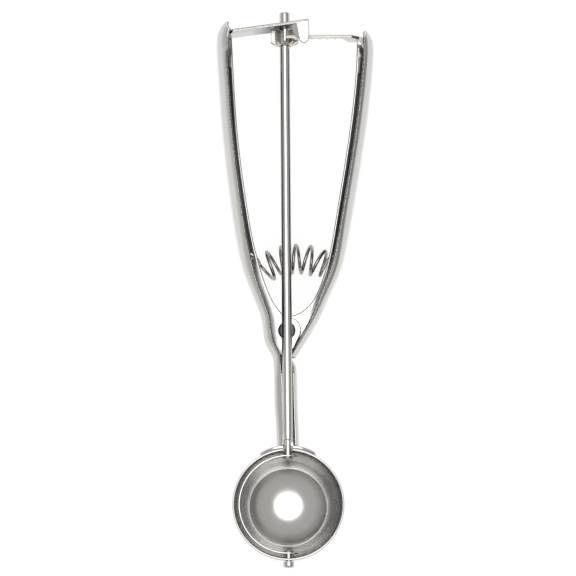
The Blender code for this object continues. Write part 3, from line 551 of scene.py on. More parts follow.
def steel(name, color, tint, rough, lines, line_axis="Y", line_depth=0.10, bump=0.05, mottle=0.0,
          edge_wear_and_shade_level=0.42, painted_shadow_below=None):
    """Stainless steel: draw or spin lines, smudges in its gloss, faint tint changes and dents.

    The attribute "inside" marks where shade is painted: dark under the handles' lips, and a painted dark
    reflection on the bowl's side walls. "cut_edge" marks sheared or worn edges, whose colour is
    edge_wear_and_shade_level
    times the rest: partly their duller finish, partly painted shade along the edges. below is two X places
    in metres between which faces that look down the rod get a painted shadow. lines is the noise scale
    across the grain. line_axis is the direction that the lines run in, or RING for lines round the bowl's
    own axis, or TURN for lines round the rod's.
    """
    material, graph, shader = new_material(name)
    coords = graph.node("ShaderNodeTexCoord").outputs["Object"]
    if line_axis in ("RING", "TURN"):
        moved = graph.node("ShaderNodeVectorMath", operation="SUBTRACT")
        graph.link(coords, moved.inputs[0])
        moved.inputs[1].default_value = SHIFT * MM
        place = graph.split(moved.outputs[0])
        along, height = ("Y", "Z") if line_axis == "RING" else ("Z", "Y")
        first = graph.math("POWER", place["X"], 2.0)
        second = graph.math("POWER", place[along], 2.0)
        radius = graph.math("SQRT", graph.math("ADD", first, second))
        angle = graph.math("ARCTAN2", place[along], place["X"])
        joined = graph.node("ShaderNodeCombineXYZ")
        graph.feed(joined.inputs, radius, graph.math("MULTIPLY", angle, RING_LINE_STRETCH), place[height])
        grain_space, drawn = joined.outputs[0], "Y"
    else:
        grain_space, drawn = coords, line_axis
    stretch = [LINE_STRETCH if axis == drawn else 1.0 for axis in "XYZ"]
    grain = graph.noise(grain_space, lines, 3.0, 0.6, stretch)
    smudge = graph.noise(coords, SMUDGES, 5.0, 0.6)
    cloud = graph.noise(coords, CLOUDS, 2.0, 0.5)
    speck = graph.noise(coords, SPECKS, 2.0, 0.5)

    gloss = graph.spread(smudge, rough * 0.8, rough * 1.35)
    gloss = graph.math("ADD", gloss, graph.spread(grain, -0.03, 0.05))
    inside = graph.node("ShaderNodeAttribute", attribute_name="inside").outputs["Fac"]
    # Painted shadow under the bearing arm: faces that look down the rod darken towards the pinion, between
    # the two X places given
    if painted_shadow_below:
        facing = graph.split(graph.node("ShaderNodeTexCoord").outputs["Normal"])
        down = graph.spread(facing["Y"], 1.0, 0.0, -0.9, -0.7)
        inside = graph.math("MULTIPLY", down, graph.spread(graph.split(coords)["X"], 0.2, 1.0, *painted_shadow_below))
    edge = graph.node("ShaderNodeAttribute", attribute_name="cut_edge").outputs["Fac"]
    gloss = graph.math("ADD", gloss, graph.math("MULTIPLY", inside, PAINTED_SHADE_ROUGH))
    gloss = graph.math("ADD", gloss, graph.math("MULTIPLY", edge, CUT_ROUGH))
    graph.link(gloss, shader.inputs["Roughness"])

    base = graph.mix(graph.spread(cloud, 0.0, 1.0, 0.35, 0.65), color, tint)
    dark = tuple(0.82 * c for c in color)
    base = graph.mix(graph.spread(grain, line_depth, 0.0, 0.3, 0.6), base, dark)
    if mottle > 0.0:
        spots = tuple(0.6 * c for c in color)
        base = graph.mix(graph.spread(speck, 0.0, mottle, 0.5, 0.62), base, spots)
    # Painted shade: the colour turns to PAINTED_SHADE_COLOR where the "inside" mask is
    base = graph.mix(graph.math("MULTIPLY", inside, graph.spread(smudge, 0.85, 1.0)), base, PAINTED_SHADE_COLOR)
    # Cut edges darker: partly a duller, worn finish, partly painted shade along the edges
    worn = graph.math("MULTIPLY", edge, graph.spread(speck, 0.55, 1.0, 0.4, 0.6))
    base = graph.mix(worn, base, tuple(edge_wear_and_shade_level * c for c in color))
    graph.link(base, shader.inputs["Base Color"])

    height = graph.math("ADD", graph.math("MULTIPLY", grain, 0.6), graph.math("MULTIPLY", smudge, 0.4))
    if mottle > 0.0:
        height = graph.math("ADD", height, graph.math("MULTIPLY", speck, 0.8))
    dents = graph.node("ShaderNodeBump")
    dents.inputs["Strength"].default_value = bump
    dents.inputs["Distance"].default_value = DENT_DEPTH
    graph.link(height, dents.inputs["Height"])
    graph.link(dents.outputs[0], shader.inputs["Normal"])
    shader.inputs["Metallic"].default_value = 1.0
    return material


polished = steel("polished_steel", (0.65, 0.64, 0.615), (0.61, 0.605, 0.60), 0.13, 2600.0,
                 line_depth=0.14, edge_wear_and_shade_level=0.32)
bowl_steel = steel("bowl_steel", (0.64, 0.63, 0.605), (0.61, 0.61, 0.61), 0.17, 2200.0, "RING",
                   line_depth=0.12)
rod_steel = steel("rod_steel", (0.56, 0.55, 0.535), (0.52, 0.515, 0.51), 0.09, 3000.0,
                  line_depth=0.16)
blade_steel = steel("blade_steel", (0.72, 0.71, 0.69), (0.69, 0.69, 0.68), 0.13, 3000.0, "TURN")
gear_steel = steel("gear_steel", (0.60, 0.58, 0.54), (0.52, 0.51, 0.49), 0.22, 2400.0,
                   line_depth=0.25, bump=0.10, mottle=0.15, edge_wear_and_shade_level=0.8)
# The arm's underside gets a painted shadow that darkens towards the pinion
arm_steel = steel("arm_steel", (0.66, 0.645, 0.62), (0.60, 0.59, 0.58), 0.16, 2400.0, "X",
                  line_depth=0.15, bump=0.12, mottle=0.18, edge_wear_and_shade_level=0.55, painted_shadow_below=(-0.017, -0.010))
spring_steel = steel("spring_steel", (0.40, 0.385, 0.35), (0.28, 0.27, 0.25), 0.14, 1800.0, "X",
                     line_depth=0.25, bump=0.12, mottle=0.3)
rivet_steel = steel("rivet_steel", (0.24, 0.235, 0.23), (0.20, 0.20, 0.20), 0.42, 2000.0,
                    line_depth=0.15, bump=0.08, mottle=0.1)


# Bowl

def bowl_profile():
    """Inner profile from rim to middle with a rounded crease, then the outer one back to the rim."""
    drop = math.sqrt(BOWL_RADIUS ** 2 - BOWL_FLOOR_RADIUS ** 2)
    sag = BOWL_DEPTH - drop
    floor_radius = (BOWL_FLOOR_RADIUS ** 2 + sag ** 2) / (2.0 * sag)
    rim = math.asin(BOWL_RIM_Z / BOWL_RADIUS)
    crease = -math.acos(BOWL_FLOOR_RADIUS / BOWL_RADIUS)
    half = math.asin(BOWL_FLOOR_RADIUS / floor_radius)
    wall_steps, floor_steps, round_steps = 60, 30, 8
    inner = []
    trim = CREASE_FILLET / BOWL_RADIUS
    for k in range(wall_steps + 1):
        angle = rim + (crease + trim - rim) * k / wall_steps
        inner.append(Vector((BOWL_RADIUS * math.cos(angle), BOWL_RADIUS * math.sin(angle))))
    corner = Vector((BOWL_FLOOR_RADIUS, -drop))
    floor = []
    trim = CREASE_FILLET / floor_radius
    for k in range(floor_steps + 1):
        angle = (half - trim) * (1.0 - k / floor_steps)
        floor.append(Vector((floor_radius * math.sin(angle),
                             floor_radius * (1.0 - math.cos(angle)) - BOWL_DEPTH)))
    start, end = inner[-1], floor[0]
    for k in range(1, round_steps):
        t = k / round_steps
        inner.append((1 - t) ** 2 * start + 2 * (1 - t) * t * corner + t ** 2 * end)
    inner += floor
    outer = []
    for i, point in enumerate(inner):
        ahead = inner[min(i + 1, len(inner) - 1)] - inner[max(i - 1, 0)]
        normal = Vector((-ahead.y, ahead.x)).normalized()
        if normal.dot(point - Vector((0.0, BOWL_MIDDLE_Z))) < 0.0:
            normal = -normal
        outer.append(point + normal * BOWL_WALL)
    outer[-1] = Vector((0.0, -BOWL_DEPTH - BOWL_WALL))
    rim_arc = []
    lip = (inner[0] + outer[0]) / 2.0
    side = (inner[0] - outer[0]).normalized()
    up = Vector((-side.y, side.x))
    if up.y < 0.0:
        up = -up
    for k in range(1, round_steps):
        a = math.pi * k / round_steps
        rim_arc.append(lip + BOWL_WALL / 2.0 * (math.cos(a) * -side + math.sin(a) * up * BOWL_RIM_CROWN))
    profile = [(point.x, point.y) for point in outer[::-1] + rim_arc + inner]
    profile[0] = (0.0, profile[0][1])
    profile[-1] = (0.0, profile[-1][1])
    return profile


def bowl_painted_reflection(place, normal):
    """Painted dark reflection on the bowl's wall: inside only, and most at left and right."""
    flat = math.hypot(place.x, place.y)
    if flat < BOWL_FLOOR_RADIUS or normal.x * place.x + normal.y * place.y > 0.0:
        return 0.0
    side = (place.x / flat) ** 2
    return BOWL_PAINTED_REFLECTION * ease(flat, BOWL_FLOOR_RADIUS, BOWL_FLOOR_RADIUS + BOWL_PAINTED_REFLECTION_BLUR) * ease(side, *BOWL_PAINTED_REFLECTION_SIDES)


def make_bowl():
    """The bowl. Gives back the notch's cutter, which the saddle needs too."""
    bowl = turned("bowl_shell", bowl_profile(), 192, "Z")
    notch = [(ROD_NOTCH_HALF * math.sin(math.radians(a)), ROD_NOTCH_HALF * math.cos(math.radians(a)))
             for a in range(180, 361, 9)]
    notch += [(2.0 * BOWL_RIM_Z, ROD_NOTCH_HALF), (2.0 * BOWL_RIM_Z, -ROD_NOTCH_HALF)]
    slot = outline_object("rod_notch", notch, BOWL_RADIUS - TOOL_REACH, BOWL_RADIUS + TOOL_REACH, "Y")
    hole = hole_tool("pin_hole", PIN_RADIUS + GAP, -BOWL_RADIUS - TOOL_REACH, TOOL_REACH - BOWL_RADIUS)
    cut(bowl, slot)
    cut(bowl, hole)
    bake(bowl, hole)
    # Painted dark reflection on the bowl's side walls
    paint(bowl, "inside", bowl_painted_reflection)
    dress(bowl, ["bowl"], "frame", bowl_steel, BOWL_SHARP_ANGLE)
    return slot


def make_saddle(notch):
    inner = BOWL_RADIUS + BOWL_WALL + GAP
    rows, columns = 25, 61

    def surface(i, j):
        u = 2.0 * j / (columns - 1) - 1.0
        angle = math.radians(SADDLE_HALF_ANGLE) * u
        middle = (SADDLE_FRONT_Z + SADDLE_REAR_Z) / 2.0
        share = math.sqrt(1.0 - SADDLE_TAPER * u * u)
        z = middle + (SADDLE_REAR_Z - middle) * (1.0 - 2.0 * i / (rows - 1)) * share
        reach = math.sqrt(inner ** 2 - z ** 2)
        return reach * math.sin(angle), reach * math.cos(angle), z

    saddle = sheet_object("saddle_plate", rows, columns, surface)
    thicken(saddle, SADDLE_SHEET, -1.0, False)
    soften(saddle, SADDLE_EDGE, marked=False)
    cut(saddle, notch)
    bake(saddle, notch)
    dress(saddle, ["bowl_saddle"], "frame", polished)


# Handles

def neck_path(turn):
    """Steps (length, direction) of the web's last stretch. turn is 0 where it is flat, 1 in the neck."""
    bend_steps, wall_steps, curl_steps = 9, 2, 6
    steps = []
    for k in range(bend_steps):
        steps.append((NECK_BEND / bend_steps, math.pi / 2.0 * (k + 0.5) / bend_steps))
    steps += [(NECK_WALL / wall_steps, math.pi / 2.0)] * wall_steps
    for k in range(curl_steps):
        steps.append((NECK_CURL / curl_steps, math.pi / 2.0 + NECK_CURL_TURN * (k + 0.5) / curl_steps))
    return [(length, turn * angle) for length, angle in steps]


def channel_section(outer, inner, lip, front, back, corner, back_corner, side, rise, turn, arc):
    """One handle section from the lip's edge round the grip to the web's edge, finely divided."""
    lip_steps, wall_steps, corner_steps, web_steps = 14, 6, 12, 4
    width, depth = abs(inner - outer), front - back
    corner_x = min(back_corner, BACK_CORNER_SHARE[0] * width)
    corner_z = min(back_corner, BACK_CORNER_SHARE[1] * depth)
    corner_x = min(corner_x, corner_z ** 2 / (BACK_CORNER_LEAST * SHEET))
    corner_z = min(corner_z, corner_x ** 2 / (BACK_CORNER_LEAST * SHEET))
    points = []
    for k in (0, *range(2, lip_steps + 1)):
        a = arc * (1.0 - k / lip_steps)
        points.append((outer + side * lip * (1.0 - math.cos(a)) / (1.0 - math.cos(arc)),
                       front - corner * (1.0 - math.sin(a) / math.sin(arc))))
    top, low = front - corner, back + corner_z
    for k in range(1, wall_steps):
        t = k / wall_steps
        points.append((outer - side * WALL_BULGE * (top - low) * math.sin(math.pi * t) ** 2,
                       top + (low - top) * t))
    for k in range(corner_steps + 1):
        a = math.pi / 2.0 * k / corner_steps
        points.append((outer + side * corner_x * (1.0 - math.cos(a)), back + corner_z * (1.0 - math.sin(a))))
    x, z, reach = 0.0, 0.0, 0.0
    path = []
    for length, angle in neck_path(turn):
        x += length * math.cos(angle)
        z += length * math.sin(angle)
        reach = max(reach, x)
        path.append((x, z))
    start = outer + side * corner_x
    room = max(side * (inner - start), 0.2)
    fit = min(1.0, 0.8 * room / reach)
    span = inner - side * reach * fit
    squeeze = 1.0 - (1.0 - turn) * min(EDGE_ROOM / (fit * reach), 0.6)
    path = [(x * squeeze, z) for x, z in path[:-1]] + path[-1:]
    points += [(start + (span - start) * k / web_steps, back) for k in range(1, web_steps + 1)]
    points += [(span + side * fit * x, back + fit * z) for x, z in path]
    flat = max(side * (inner - start) - FLAT_EDGE, 0.0)
    return [(x, z + rise * min(max(side * (x - start), 0.0), flat)) for x, z in points]


def height_rows(stretches):
    rows = [stretches[0][0]]
    for low, high, spacing in stretches:
        steps = round((high - low) / spacing)
        rows += [low + (high - low) * (k + 1) / steps for k in range(steps)]
    return rows


def ease(value, start, end):
    """0 at start, 1 at end, smooth between."""
    t = min(max((value - start) / (end - start), 0.0), 1.0)
    return t * t * (3.0 - 2.0 * t)


def handle_object(name, tables, back, side, rows, fold_at=None, round_end=None):
    """A handle's sheet. round_end is the radius of the ball that its lowest row lies on."""
    outer, inner, lip, front, back_corner = (curve_through(table) for table in tables)
    sections = []
    for dy in rows:
        turn = ease(dy, fold_at[1], fold_at[0]) if fold_at else 0.0
        rise = WEB_RISE * ease(dy, *WEB_RISE_BELOW) * ease(dy, *WEB_RISE_ABOVE)
        low = ease(dy, *LOW_GRIP_BETWEEN)
        corner = min(GRIP_CORNER[0] + (GRIP_CORNER[1] - GRIP_CORNER[0]) * low, 0.5 * (front(dy) - back))
        arc = LIP_ARC[0] + (LIP_ARC[1] - LIP_ARC[0]) * low
        sections.append(channel_section(outer(dy), inner(dy), lip(dy), front(dy), back, corner,
                                        back_corner(dy), side, rise, turn, math.radians(arc)))

    def surface(i, j):
        x, z = sections[i][j]
        y = PIVOT_Y + rows[i]
        if round_end and y < NECK_TRIM_Y:
            end = math.sqrt(round_end ** 2 - x * x - z * z)
            share = (NECK_TRIM_Y - y) / (NECK_TRIM_Y - PIVOT_Y - rows[0])
            y = NECK_TRIM_Y + (end - NECK_TRIM_Y) * share
        return x, y, z
    return sheet_object(name, len(rows), len(sections[0]), surface)


def round_edges(obj, width):
    """Round a baked handle's edges, pull back points thrown off the sheet, and polish its two ends."""
    bm = bmesh.new()
    bm.from_mesh(obj.data)
    sheet = BVHTree.FromBMesh(bm)
    bm.free()
    soften(obj, width)
    bake(obj)
    for vert in obj.data.vertices:
        place, normal, index, distance = sheet.find_nearest(vert.co)
        if distance > EDGE_MOVE * width:
            vert.co = place
    for face in obj.data.polygons:
        if not WORN_AND_SHADED_EDGES[0] < face.center.y - PIVOT_Y < WORN_AND_SHADED_EDGES[1]:
            face.material_index = 0


def painted_shade_of(tables, back, side, dark, reach, blur):
    """Painted shade in a channel: dark under the lip and for reach beyond it, then fading over blur."""
    outer, inner, lip, front, back_corner = (curve_through(table) for table in tables)
    dark, reach = curve_through(dark), curve_through(reach)

    def at(place, normal):
        dy = place.y - PIVOT_Y
        middle = Vector((outer(dy) + side * (SHEET + 0.45 * abs(inner(dy) - outer(dy))), place.y,
                         (front(dy) + back) / 2.0))
        inward = min(max(3.0 * normal.dot((middle - place).normalized()) - 0.5, 0.0), 1.0)
        along = side * (place.x - outer(dy)) - lip(dy)
        return dark(dy) * inward * (1.0 - ease(along, reach(dy), reach(dy) + blur))
    return at


def hook_places():
    """Where the spring goes through each web: X of the hole and the web's back."""
    dy = HOOK_Y - PIVOT_Y
    left = curve_through(FIXED_OUTER)(dy) + HOOK_INSET
    right = curve_through(LEVER_OUTER)(dy) - HOOK_INSET
    return (left, WEB_BACK_Z), (right, LEVER_BACK_Z)


def make_handle(name, node, body, tables, side, rows, hook_place, shade, fold_at=None, round_end=None):
    """A handle with its holes for rivet and spring. side is +1 where its channel opens to +X."""
    hook_x, back = hook_place
    handle = handle_object(name, tables, back, side, height_rows(rows), fold_at, round_end)
    thicken(handle, SHEET, side)
    bake(handle)
    round_edges(handle, EDGE_ROUND)
    holes = (hole_tool("ear_hole", RIVET_RADIUS + GAP, LEVER_BACK_Z - 3.0, WEB_BACK_Z + 4.0, "Z",
                       (0.0, PIVOT_Y)),
             hole_tool("hook_hole", SPRING_WIRE + HOLE_PLAY, back - 2.0, back + SHEET + 0.8, "Z",
                       (hook_x, HOOK_Y)))
    for hole in holes:
        cut(handle, hole, solver="FAST")
    bake(handle, *holes)
    # Painted shade inside the channel, under the lip, stored for the material
    paint(handle, "inside", painted_shade_of(tables, back, side, *shade))
    dress(handle, [node], body, polished)


def make_handles():
    left, right = hook_places()
    make_handle("grip_left", "fixed_handle", "frame", FIXED_TABLES, 1.0, FIXED_ROWS, left,
                (LEFT_DARK, LEFT_DARK_REACH, LEFT_DARK_BLUR), NECK_FOLD,
                BOWL_RADIUS + BOWL_WALL + GAP + SADDLE_SHEET + GAP)
    make_handle("grip_right", "lever_handle", "lever", LEVER_TABLES, -1.0, LEVER_ROWS, right,
                (RIGHT_DARK, RIGHT_DARK_REACH, RIGHT_DARK_BLUR))


def make_rivet():
    face = WEB_BACK_Z + SHEET + GAP
    tail = LEVER_BACK_Z - GAP
    wide = RIVET_HEAD_RADIUS
    profile = [(0.0, face + RIVET_HEAD_HIGH)]
    profile += arc_points((0.0, face + RIVET_BRIM_HIGH), wide, RIVET_HEAD_HIGH - RIVET_BRIM_HIGH,
                          85.0, 0.0, 17)
    profile += [(wide - 0.04, face + 0.15), (wide - 0.18, face), (RIVET_RADIUS, face),
                (RIVET_RADIUS, tail), (wide - 0.5, tail), (wide - 0.42, tail - 0.1)]
    profile += arc_points((wide - 1.3, tail - 0.1 * RIVET_TAIL_HIGH), RIVET_TAIL_ROUND,
                          -0.9 * RIVET_TAIL_HIGH, 0.0, 90.0, 6)
    profile.append((0.0, tail - RIVET_TAIL_HIGH))
    rivet = turned("rivet", profile, 96, "Z", (0.0, PIVOT_Y, 0.0))
    dress(rivet, ["pivot_rivet"], "frame", rivet_steel)


# Rod, scraper and pin

def make_rod():
    tab_in = SCRAPER_RADIUS - SCRAPER_SHEET - GAP
    profile = [(0.0, ROD_TOP)]
    profile += arc_points((ROD_RADIUS - ROD_TOP_ROUND, ROD_TOP - ROD_TOP_ROUND), ROD_TOP_ROUND,
                          ROD_TOP_ROUND, 90.0, 0.0, 6)
    profile += [(ROD_RADIUS, ROD_STEP_Y + ROD_TAPER + 6.0), (ROD_RADIUS, ROD_STEP_Y + ROD_TAPER),
                (ROD_RADIUS - 0.06, ROD_STEP_Y + 0.7 * ROD_TAPER), (ROD_RADIUS - 0.22, ROD_STEP_Y + 0.3),
                (ROD_RADIUS - 0.30, ROD_STEP_Y + 0.08), (ROD_RADIUS - 0.42, ROD_STEP_Y),
                (ROD_TIP_RADIUS, ROD_STEP_Y), (ROD_TIP_RADIUS, tab_in), (PEEN_RADIUS - 0.15, tab_in),
                (PEEN_RADIUS, tab_in - 0.12), (PEEN_RADIUS - 0.1, tab_in - 0.35),
                (PEEN_RADIUS - 0.5, tab_in - PEEN_THICK), (0.0, tab_in - PEEN_THICK)]
    rod = turned("rod_bar", profile, 72)
    dress(rod, ["rod"], "rotor", rod_steel)


def make_bottom_pin():
    tab_in = -(SCRAPER_RADIUS - SCRAPER_SHEET - GAP)
    head = -(BOWL_RADIUS + BOWL_WALL + GAP)
    tip = head - PIN_HEAD_LENGTH
    thin, wide = PIN_RADIUS, PIN_HEAD_RADIUS
    profile = [(0.0, tab_in + PEEN_THICK), (thin + 0.35, tab_in + PEEN_THICK), (thin + 0.62, tab_in + 0.4),
               (thin + 0.7, tab_in + 0.12), (thin + 0.6, tab_in), (thin, tab_in), (thin, head),
               (wide - 0.12, head), (wide, head - 0.12), (wide, tip + 0.9), (wide - 0.1, tip + 0.55),
               (wide - 0.35, tip + 0.28), (wide - 0.7, tip + 0.09), (wide - 1.1, tip), (0.0, tip)]
    pin = turned("pin_bar", profile, 72)
    dress(pin, ["bottom_pin"], "rotor", rod_steel)


def make_scraper():
    arc_steps, tab_steps, columns = 120, 12, 13
    rows = arc_steps + 1 + 2 * tab_steps
    lean = Matrix.Rotation(-math.radians(SCRAPER_REST_TILT), 3, "Y")

    def surface(i, j):
        past = max(tab_steps - i, i - tab_steps - arc_steps, 0) / tab_steps
        width = SCRAPER_HALF_WIDTH * math.sqrt(1.0 - (SCRAPER_TAB_TAPER * past) ** 2)
        z = width * (2.0 * j / (columns - 1) - 1.0)
        angle = math.pi * min(max(i - tab_steps, 0), arc_steps) / arc_steps
        x = -SCRAPER_RADIUS * math.sin(angle) + SCRAPER_HALF_WIDTH * past
        return lean @ Vector((x, SCRAPER_RADIUS * math.cos(angle), z))

    scraper = sheet_object("scraper_blade", rows, columns, surface)
    thicken(scraper, SCRAPER_SHEET, 1.0, False)
    soften(scraper, SCRAPER_EDGE, 2, marked=False)
    tools = []
    for end, radius in ((1.0, ROD_TIP_RADIUS), (-1.0, PIN_RADIUS)):
        middle, reach = end * SCRAPER_RADIUS, 4.0 * SCRAPER_SHEET
        tools.append(hole_tool("tab_hole", radius + GAP, middle - reach, middle + reach))
        cut(scraper, tools[-1])
    bake(scraper, *tools)
    dress(scraper, ["scraper"], "rotor", blade_steel)


# Gear

def gear_outline():
    root, tip = PITCH_RADIUS - DEDENDUM, PITCH_RADIUS + ADDENDUM
    points = []
    for k in range(PINION_TEETH):
        middle = 2.0 * math.pi * k / PINION_TEETH
        flank = []
        for t in (0.0, 0.25, 0.5, 0.75, 1.0):
            flank.append((root + (tip - root) * t, TOOTH_HALF_ROOT + (TOOTH_HALF_TIP - TOOTH_HALF_ROOT) * t))
        for radius, half in [(r, -h) for r, h in flank] + flank[::-1]:
            angle = middle + half / radius
            points.append((radius * math.cos(angle), radius * math.sin(angle)))
    return points


def make_pinion():
    top = PINION_BOTTOM_Y + PINION_FACE
    pinion = outline_object("pinion_gear", gear_outline(), PINION_BOTTOM_Y, top, "Y")
    bore = hole_tool("pinion_bore", ROD_RADIUS + GAP, PINION_BOTTOM_Y - 2.0, top + 2.0, sides=48)
    core, wide = PITCH_RADIUS - DEDENDUM - 0.2, PITCH_RADIUS + ADDENDUM + 0.1
    rings = ((core, 0.0), (wide, PINION_CONE), (wide, PINION_FACE + 1.0))
    cone = hull_object("pinion_blank", [(x, PINION_BOTTOM_Y + high, z) for radius, high in rings
                                        for x, z in ring(radius, 96)])
    cut(pinion, cone, "INTERSECT")
    bake(pinion, cone)
    soften(pinion, PINION_EDGE, 2, 35.0, marked=False, clamp=True)
    cut(pinion, bore)
    bake(pinion, bore)
    dress(pinion, ["pinion"], "rotor", gear_steel)


def rack_end():
    return curve_through(LEVER_OUTER)(RACK_REACH + RACK_SHEET) - SHEET - 2.0 * GAP


def make_rack():
    tip, root = PITCH_RADIUS - ADDENDUM, PITCH_RADIUS + DEDENDUM
    step = math.pi * GEAR_MODULE / RACK_REACH
    points = []
    for k in range(RACK_TEETH):
        middle = RACK_REACH * math.tan(step * (k + 0.5))
        points += [(root, middle - TOOTH_HALF_ROOT), (tip, middle - TOOTH_HALF_TIP),
                   (tip, middle + TOOTH_HALF_TIP), (root, middle + TOOTH_HALF_ROOT)]
    left, plain = points[0][1] - RACK_LEAD, points[-1][1] + RACK_PLAIN
    right = rack_end() - RACK_BEND
    outline = [(root, left)] + points + [(root, plain), (RACK_LEG_BACK_Z, plain + RACK_TAPER),
                                         (RACK_LEG_BACK_Z, right), (RACK_LEG_FRONT_Z, right),
                                         (RACK_FRONT_Z, right - RACK_TAPER), (RACK_FRONT_Z, left)]
    low, high = RACK_Y - RACK_SHEET / 2, RACK_Y + RACK_SHEET / 2
    rack = outline_object("rack_strip", outline, low, high, "Y", "sides")
    soften(rack, RACK_EDGE, 2, 35.0)
    outer = curve_through(LEVER_OUTER)
    path = [(right - 0.6, high)]
    path += arc_points((right, high - RACK_BEND), RACK_BEND, RACK_BEND, 90.0, 0.0, 8)
    for k in range(6):
        y = high - RACK_LEG * (0.35 + 0.65 * k / 5)
        path.append((outer(y - PIVOT_Y) - SHEET - GAP - RACK_LEG_GAP, y))
    inside = []
    for i, (x, y) in enumerate(path):
        ax, ay = path[max(i - 1, 0)]
        bx, by = path[min(i + 1, len(path) - 1)]
        length = math.hypot(bx - ax, by - ay)
        inside.append((x + (by - ay) / length * RACK_SHEET, y - (bx - ax) / length * RACK_SHEET))
    leg = outline_object("rack_leg", path + inside[::-1], RACK_LEG_BACK_Z, RACK_LEG_FRONT_Z, "Z", "caps")
    soften(leg, RACK_EDGE, 2, 35.0)
    cut(rack, leg, "UNION")
    bake(rack, leg)
    dress(rack, ["rack"], "lever", gear_steel)


# Bearing arm

def plate_top(x):
    return ARM_HOLE_Y + SHEET / 2 + math.tan(math.radians(ARM_TILT)) * x


def make_bearing_arm():
    outer, tab_top = FIXED_WIDEST_X, plate_top(TAB_RIGHT)
    leg_x = outer + SHEET + GAP + ARM_LEG_INSET
    bend_y = plate_top(leg_x)
    bend = (leg_x + ARM_BEND, bend_y - ARM_BEND)
    small = ARM_BEND - SHEET
    side = [(leg_x + ARM_LEG_TILT * ARM_LEG, bend_y - ARM_LEG)]
    side += arc_points(bend, ARM_BEND, ARM_BEND, 180.0, 90.0 + ARM_TILT, 12)
    side += [(TAB_RIGHT, tab_top), (TAB_RIGHT, tab_top - SHEET)]
    side += arc_points(bend, small, small, 90.0 + ARM_TILT, 180.0, 12)
    side.append((leg_x + SHEET + ARM_LEG_TILT * ARM_LEG, bend_y - ARM_LEG))
    arm = outline_object("arm_bracket", side, ARM_REAR_Z, ARM_FRONT_Z, "Z", "caps")
    soften(arm, ARM_EDGE, 2, 60.0)

    drop = tab_top - TAB_DROP
    tab = [(TAB_LEFT, plate_top(TAB_LEFT) - SHEET / 2), (TAB_LEFT + 0.7, drop + 3.4)]
    tab += arc_points((TAB_LEFT + 1.0 + TAB_NOSE[0], drop + TAB_NOSE[1]), *TAB_NOSE, 180.0, 360.0, 24)
    tab += [(TAB_RIGHT + 0.2, drop + 4.6), (TAB_RIGHT, tab_top - SHEET / 2)]
    back = ARM_FRONT_Z - SHEET
    guard = outline_object("guard_tab", tab, back, ARM_FRONT_Z, "Z")
    soften(guard, TAB_EDGE, 3, 60.0)
    corners = ((TAB_LEFT - 1.2, plate_top(TAB_LEFT - 1.2) - 0.3, 0.5),
               (TAB_LEFT - TAB_FACET, drop + 6.0, 0.4), (TAB_LEFT - 0.3, drop + 2.6, 0.4),
               (TAB_LEFT + 1.5, drop + 1.0, SHEET), (TAB_LEFT + 1.0, drop + 5.0, SHEET),
               (TAB_LEFT + 0.5, plate_top(TAB_LEFT) - 0.3, SHEET))
    facet = hull_object("tab_facet", [(x, y, z) for x, y, thick in corners for z in (back, back + thick)])
    hole = hole_tool("arm_hole", ROD_RADIUS + GAP + 0.05, PINION_BOTTOM_Y, ROD_TOP, sides=48)
    wide = outer + ARM_WIDE_X
    narrow = outline_object("arm_narrow", ((ARM_LEG_FRONT_Z, outer), (2.0 * ARM_FRONT_Z, outer),
                                           (2.0 * ARM_FRONT_Z, wide), (ARM_FRONT_Z, wide),
                                           (ARM_NARROW_Z, outer + ARM_NARROW_X),
                                           (ARM_LEG_FRONT_Z, leg_x + SHEET)),
                            bend_y - 2.0 * ARM_LEG, ROD_TOP, "Y")
    cut(arm, guard, "UNION")
    cut(arm, facet, "UNION")
    cut(arm, hole)
    cut(arm, narrow)
    bake(arm, guard, facet, hole, narrow)
    dress(arm, ["bearing_arm"], "frame", arm_steel)


# Spring

def coil_point(turn):
    swing = math.radians(SPRING_FIRST_TOP_ANGLE + SPRING_PITCH_ANGLE * turn)
    phase = 2.0 * math.pi * turn
    reach = SPRING_ARCH + SPRING_COIL * math.cos(phase)
    return Vector((SPRING_ARCH_X + reach * math.sin(swing), SPRING_ARCH_Y + reach * math.cos(swing),
                   SPRING_Z - SPRING_COIL * math.sin(phase)))


def hook_points(turn, ahead, hook_place, sweep, aim):
    """The wire from the coil's end to its point. ahead is +1 at the last turn and -1 at the first."""
    hole_x, back = hook_place
    start = coil_point(turn)
    pull = (start - coil_point(turn - ahead * 0.02)).normalized()
    behind = back - SPRING_WIRE - GAP
    elbow = Vector((hole_x - math.copysign(HOOK_BEND, hole_x), HOOK_Y, behind))
    aim = Vector(aim).normalized()
    span = (elbow - start).length
    points = []
    for k in range(1, 21):
        t = k / 20
        points.append((1 - t) ** 3 * start + 3 * (1 - t) ** 2 * t * (start + pull * span * sweep)
                      + 3 * (1 - t) * t ** 2 * (elbow - aim * span * 0.35) + t ** 3 * elbow)
    for k in range(1, 10):
        a = math.radians(10.0 * k)
        points.append(Vector((elbow.x + math.copysign(HOOK_BEND * math.sin(a), hole_x), HOOK_Y,
                              behind + HOOK_BEND * (1.0 - math.cos(a)))))
    for short in (HOOK_POINT, 0.0):
        points.append(Vector((hole_x, HOOK_Y, back + SHEET + HOOK_PAST_WEB - short)))
    return points


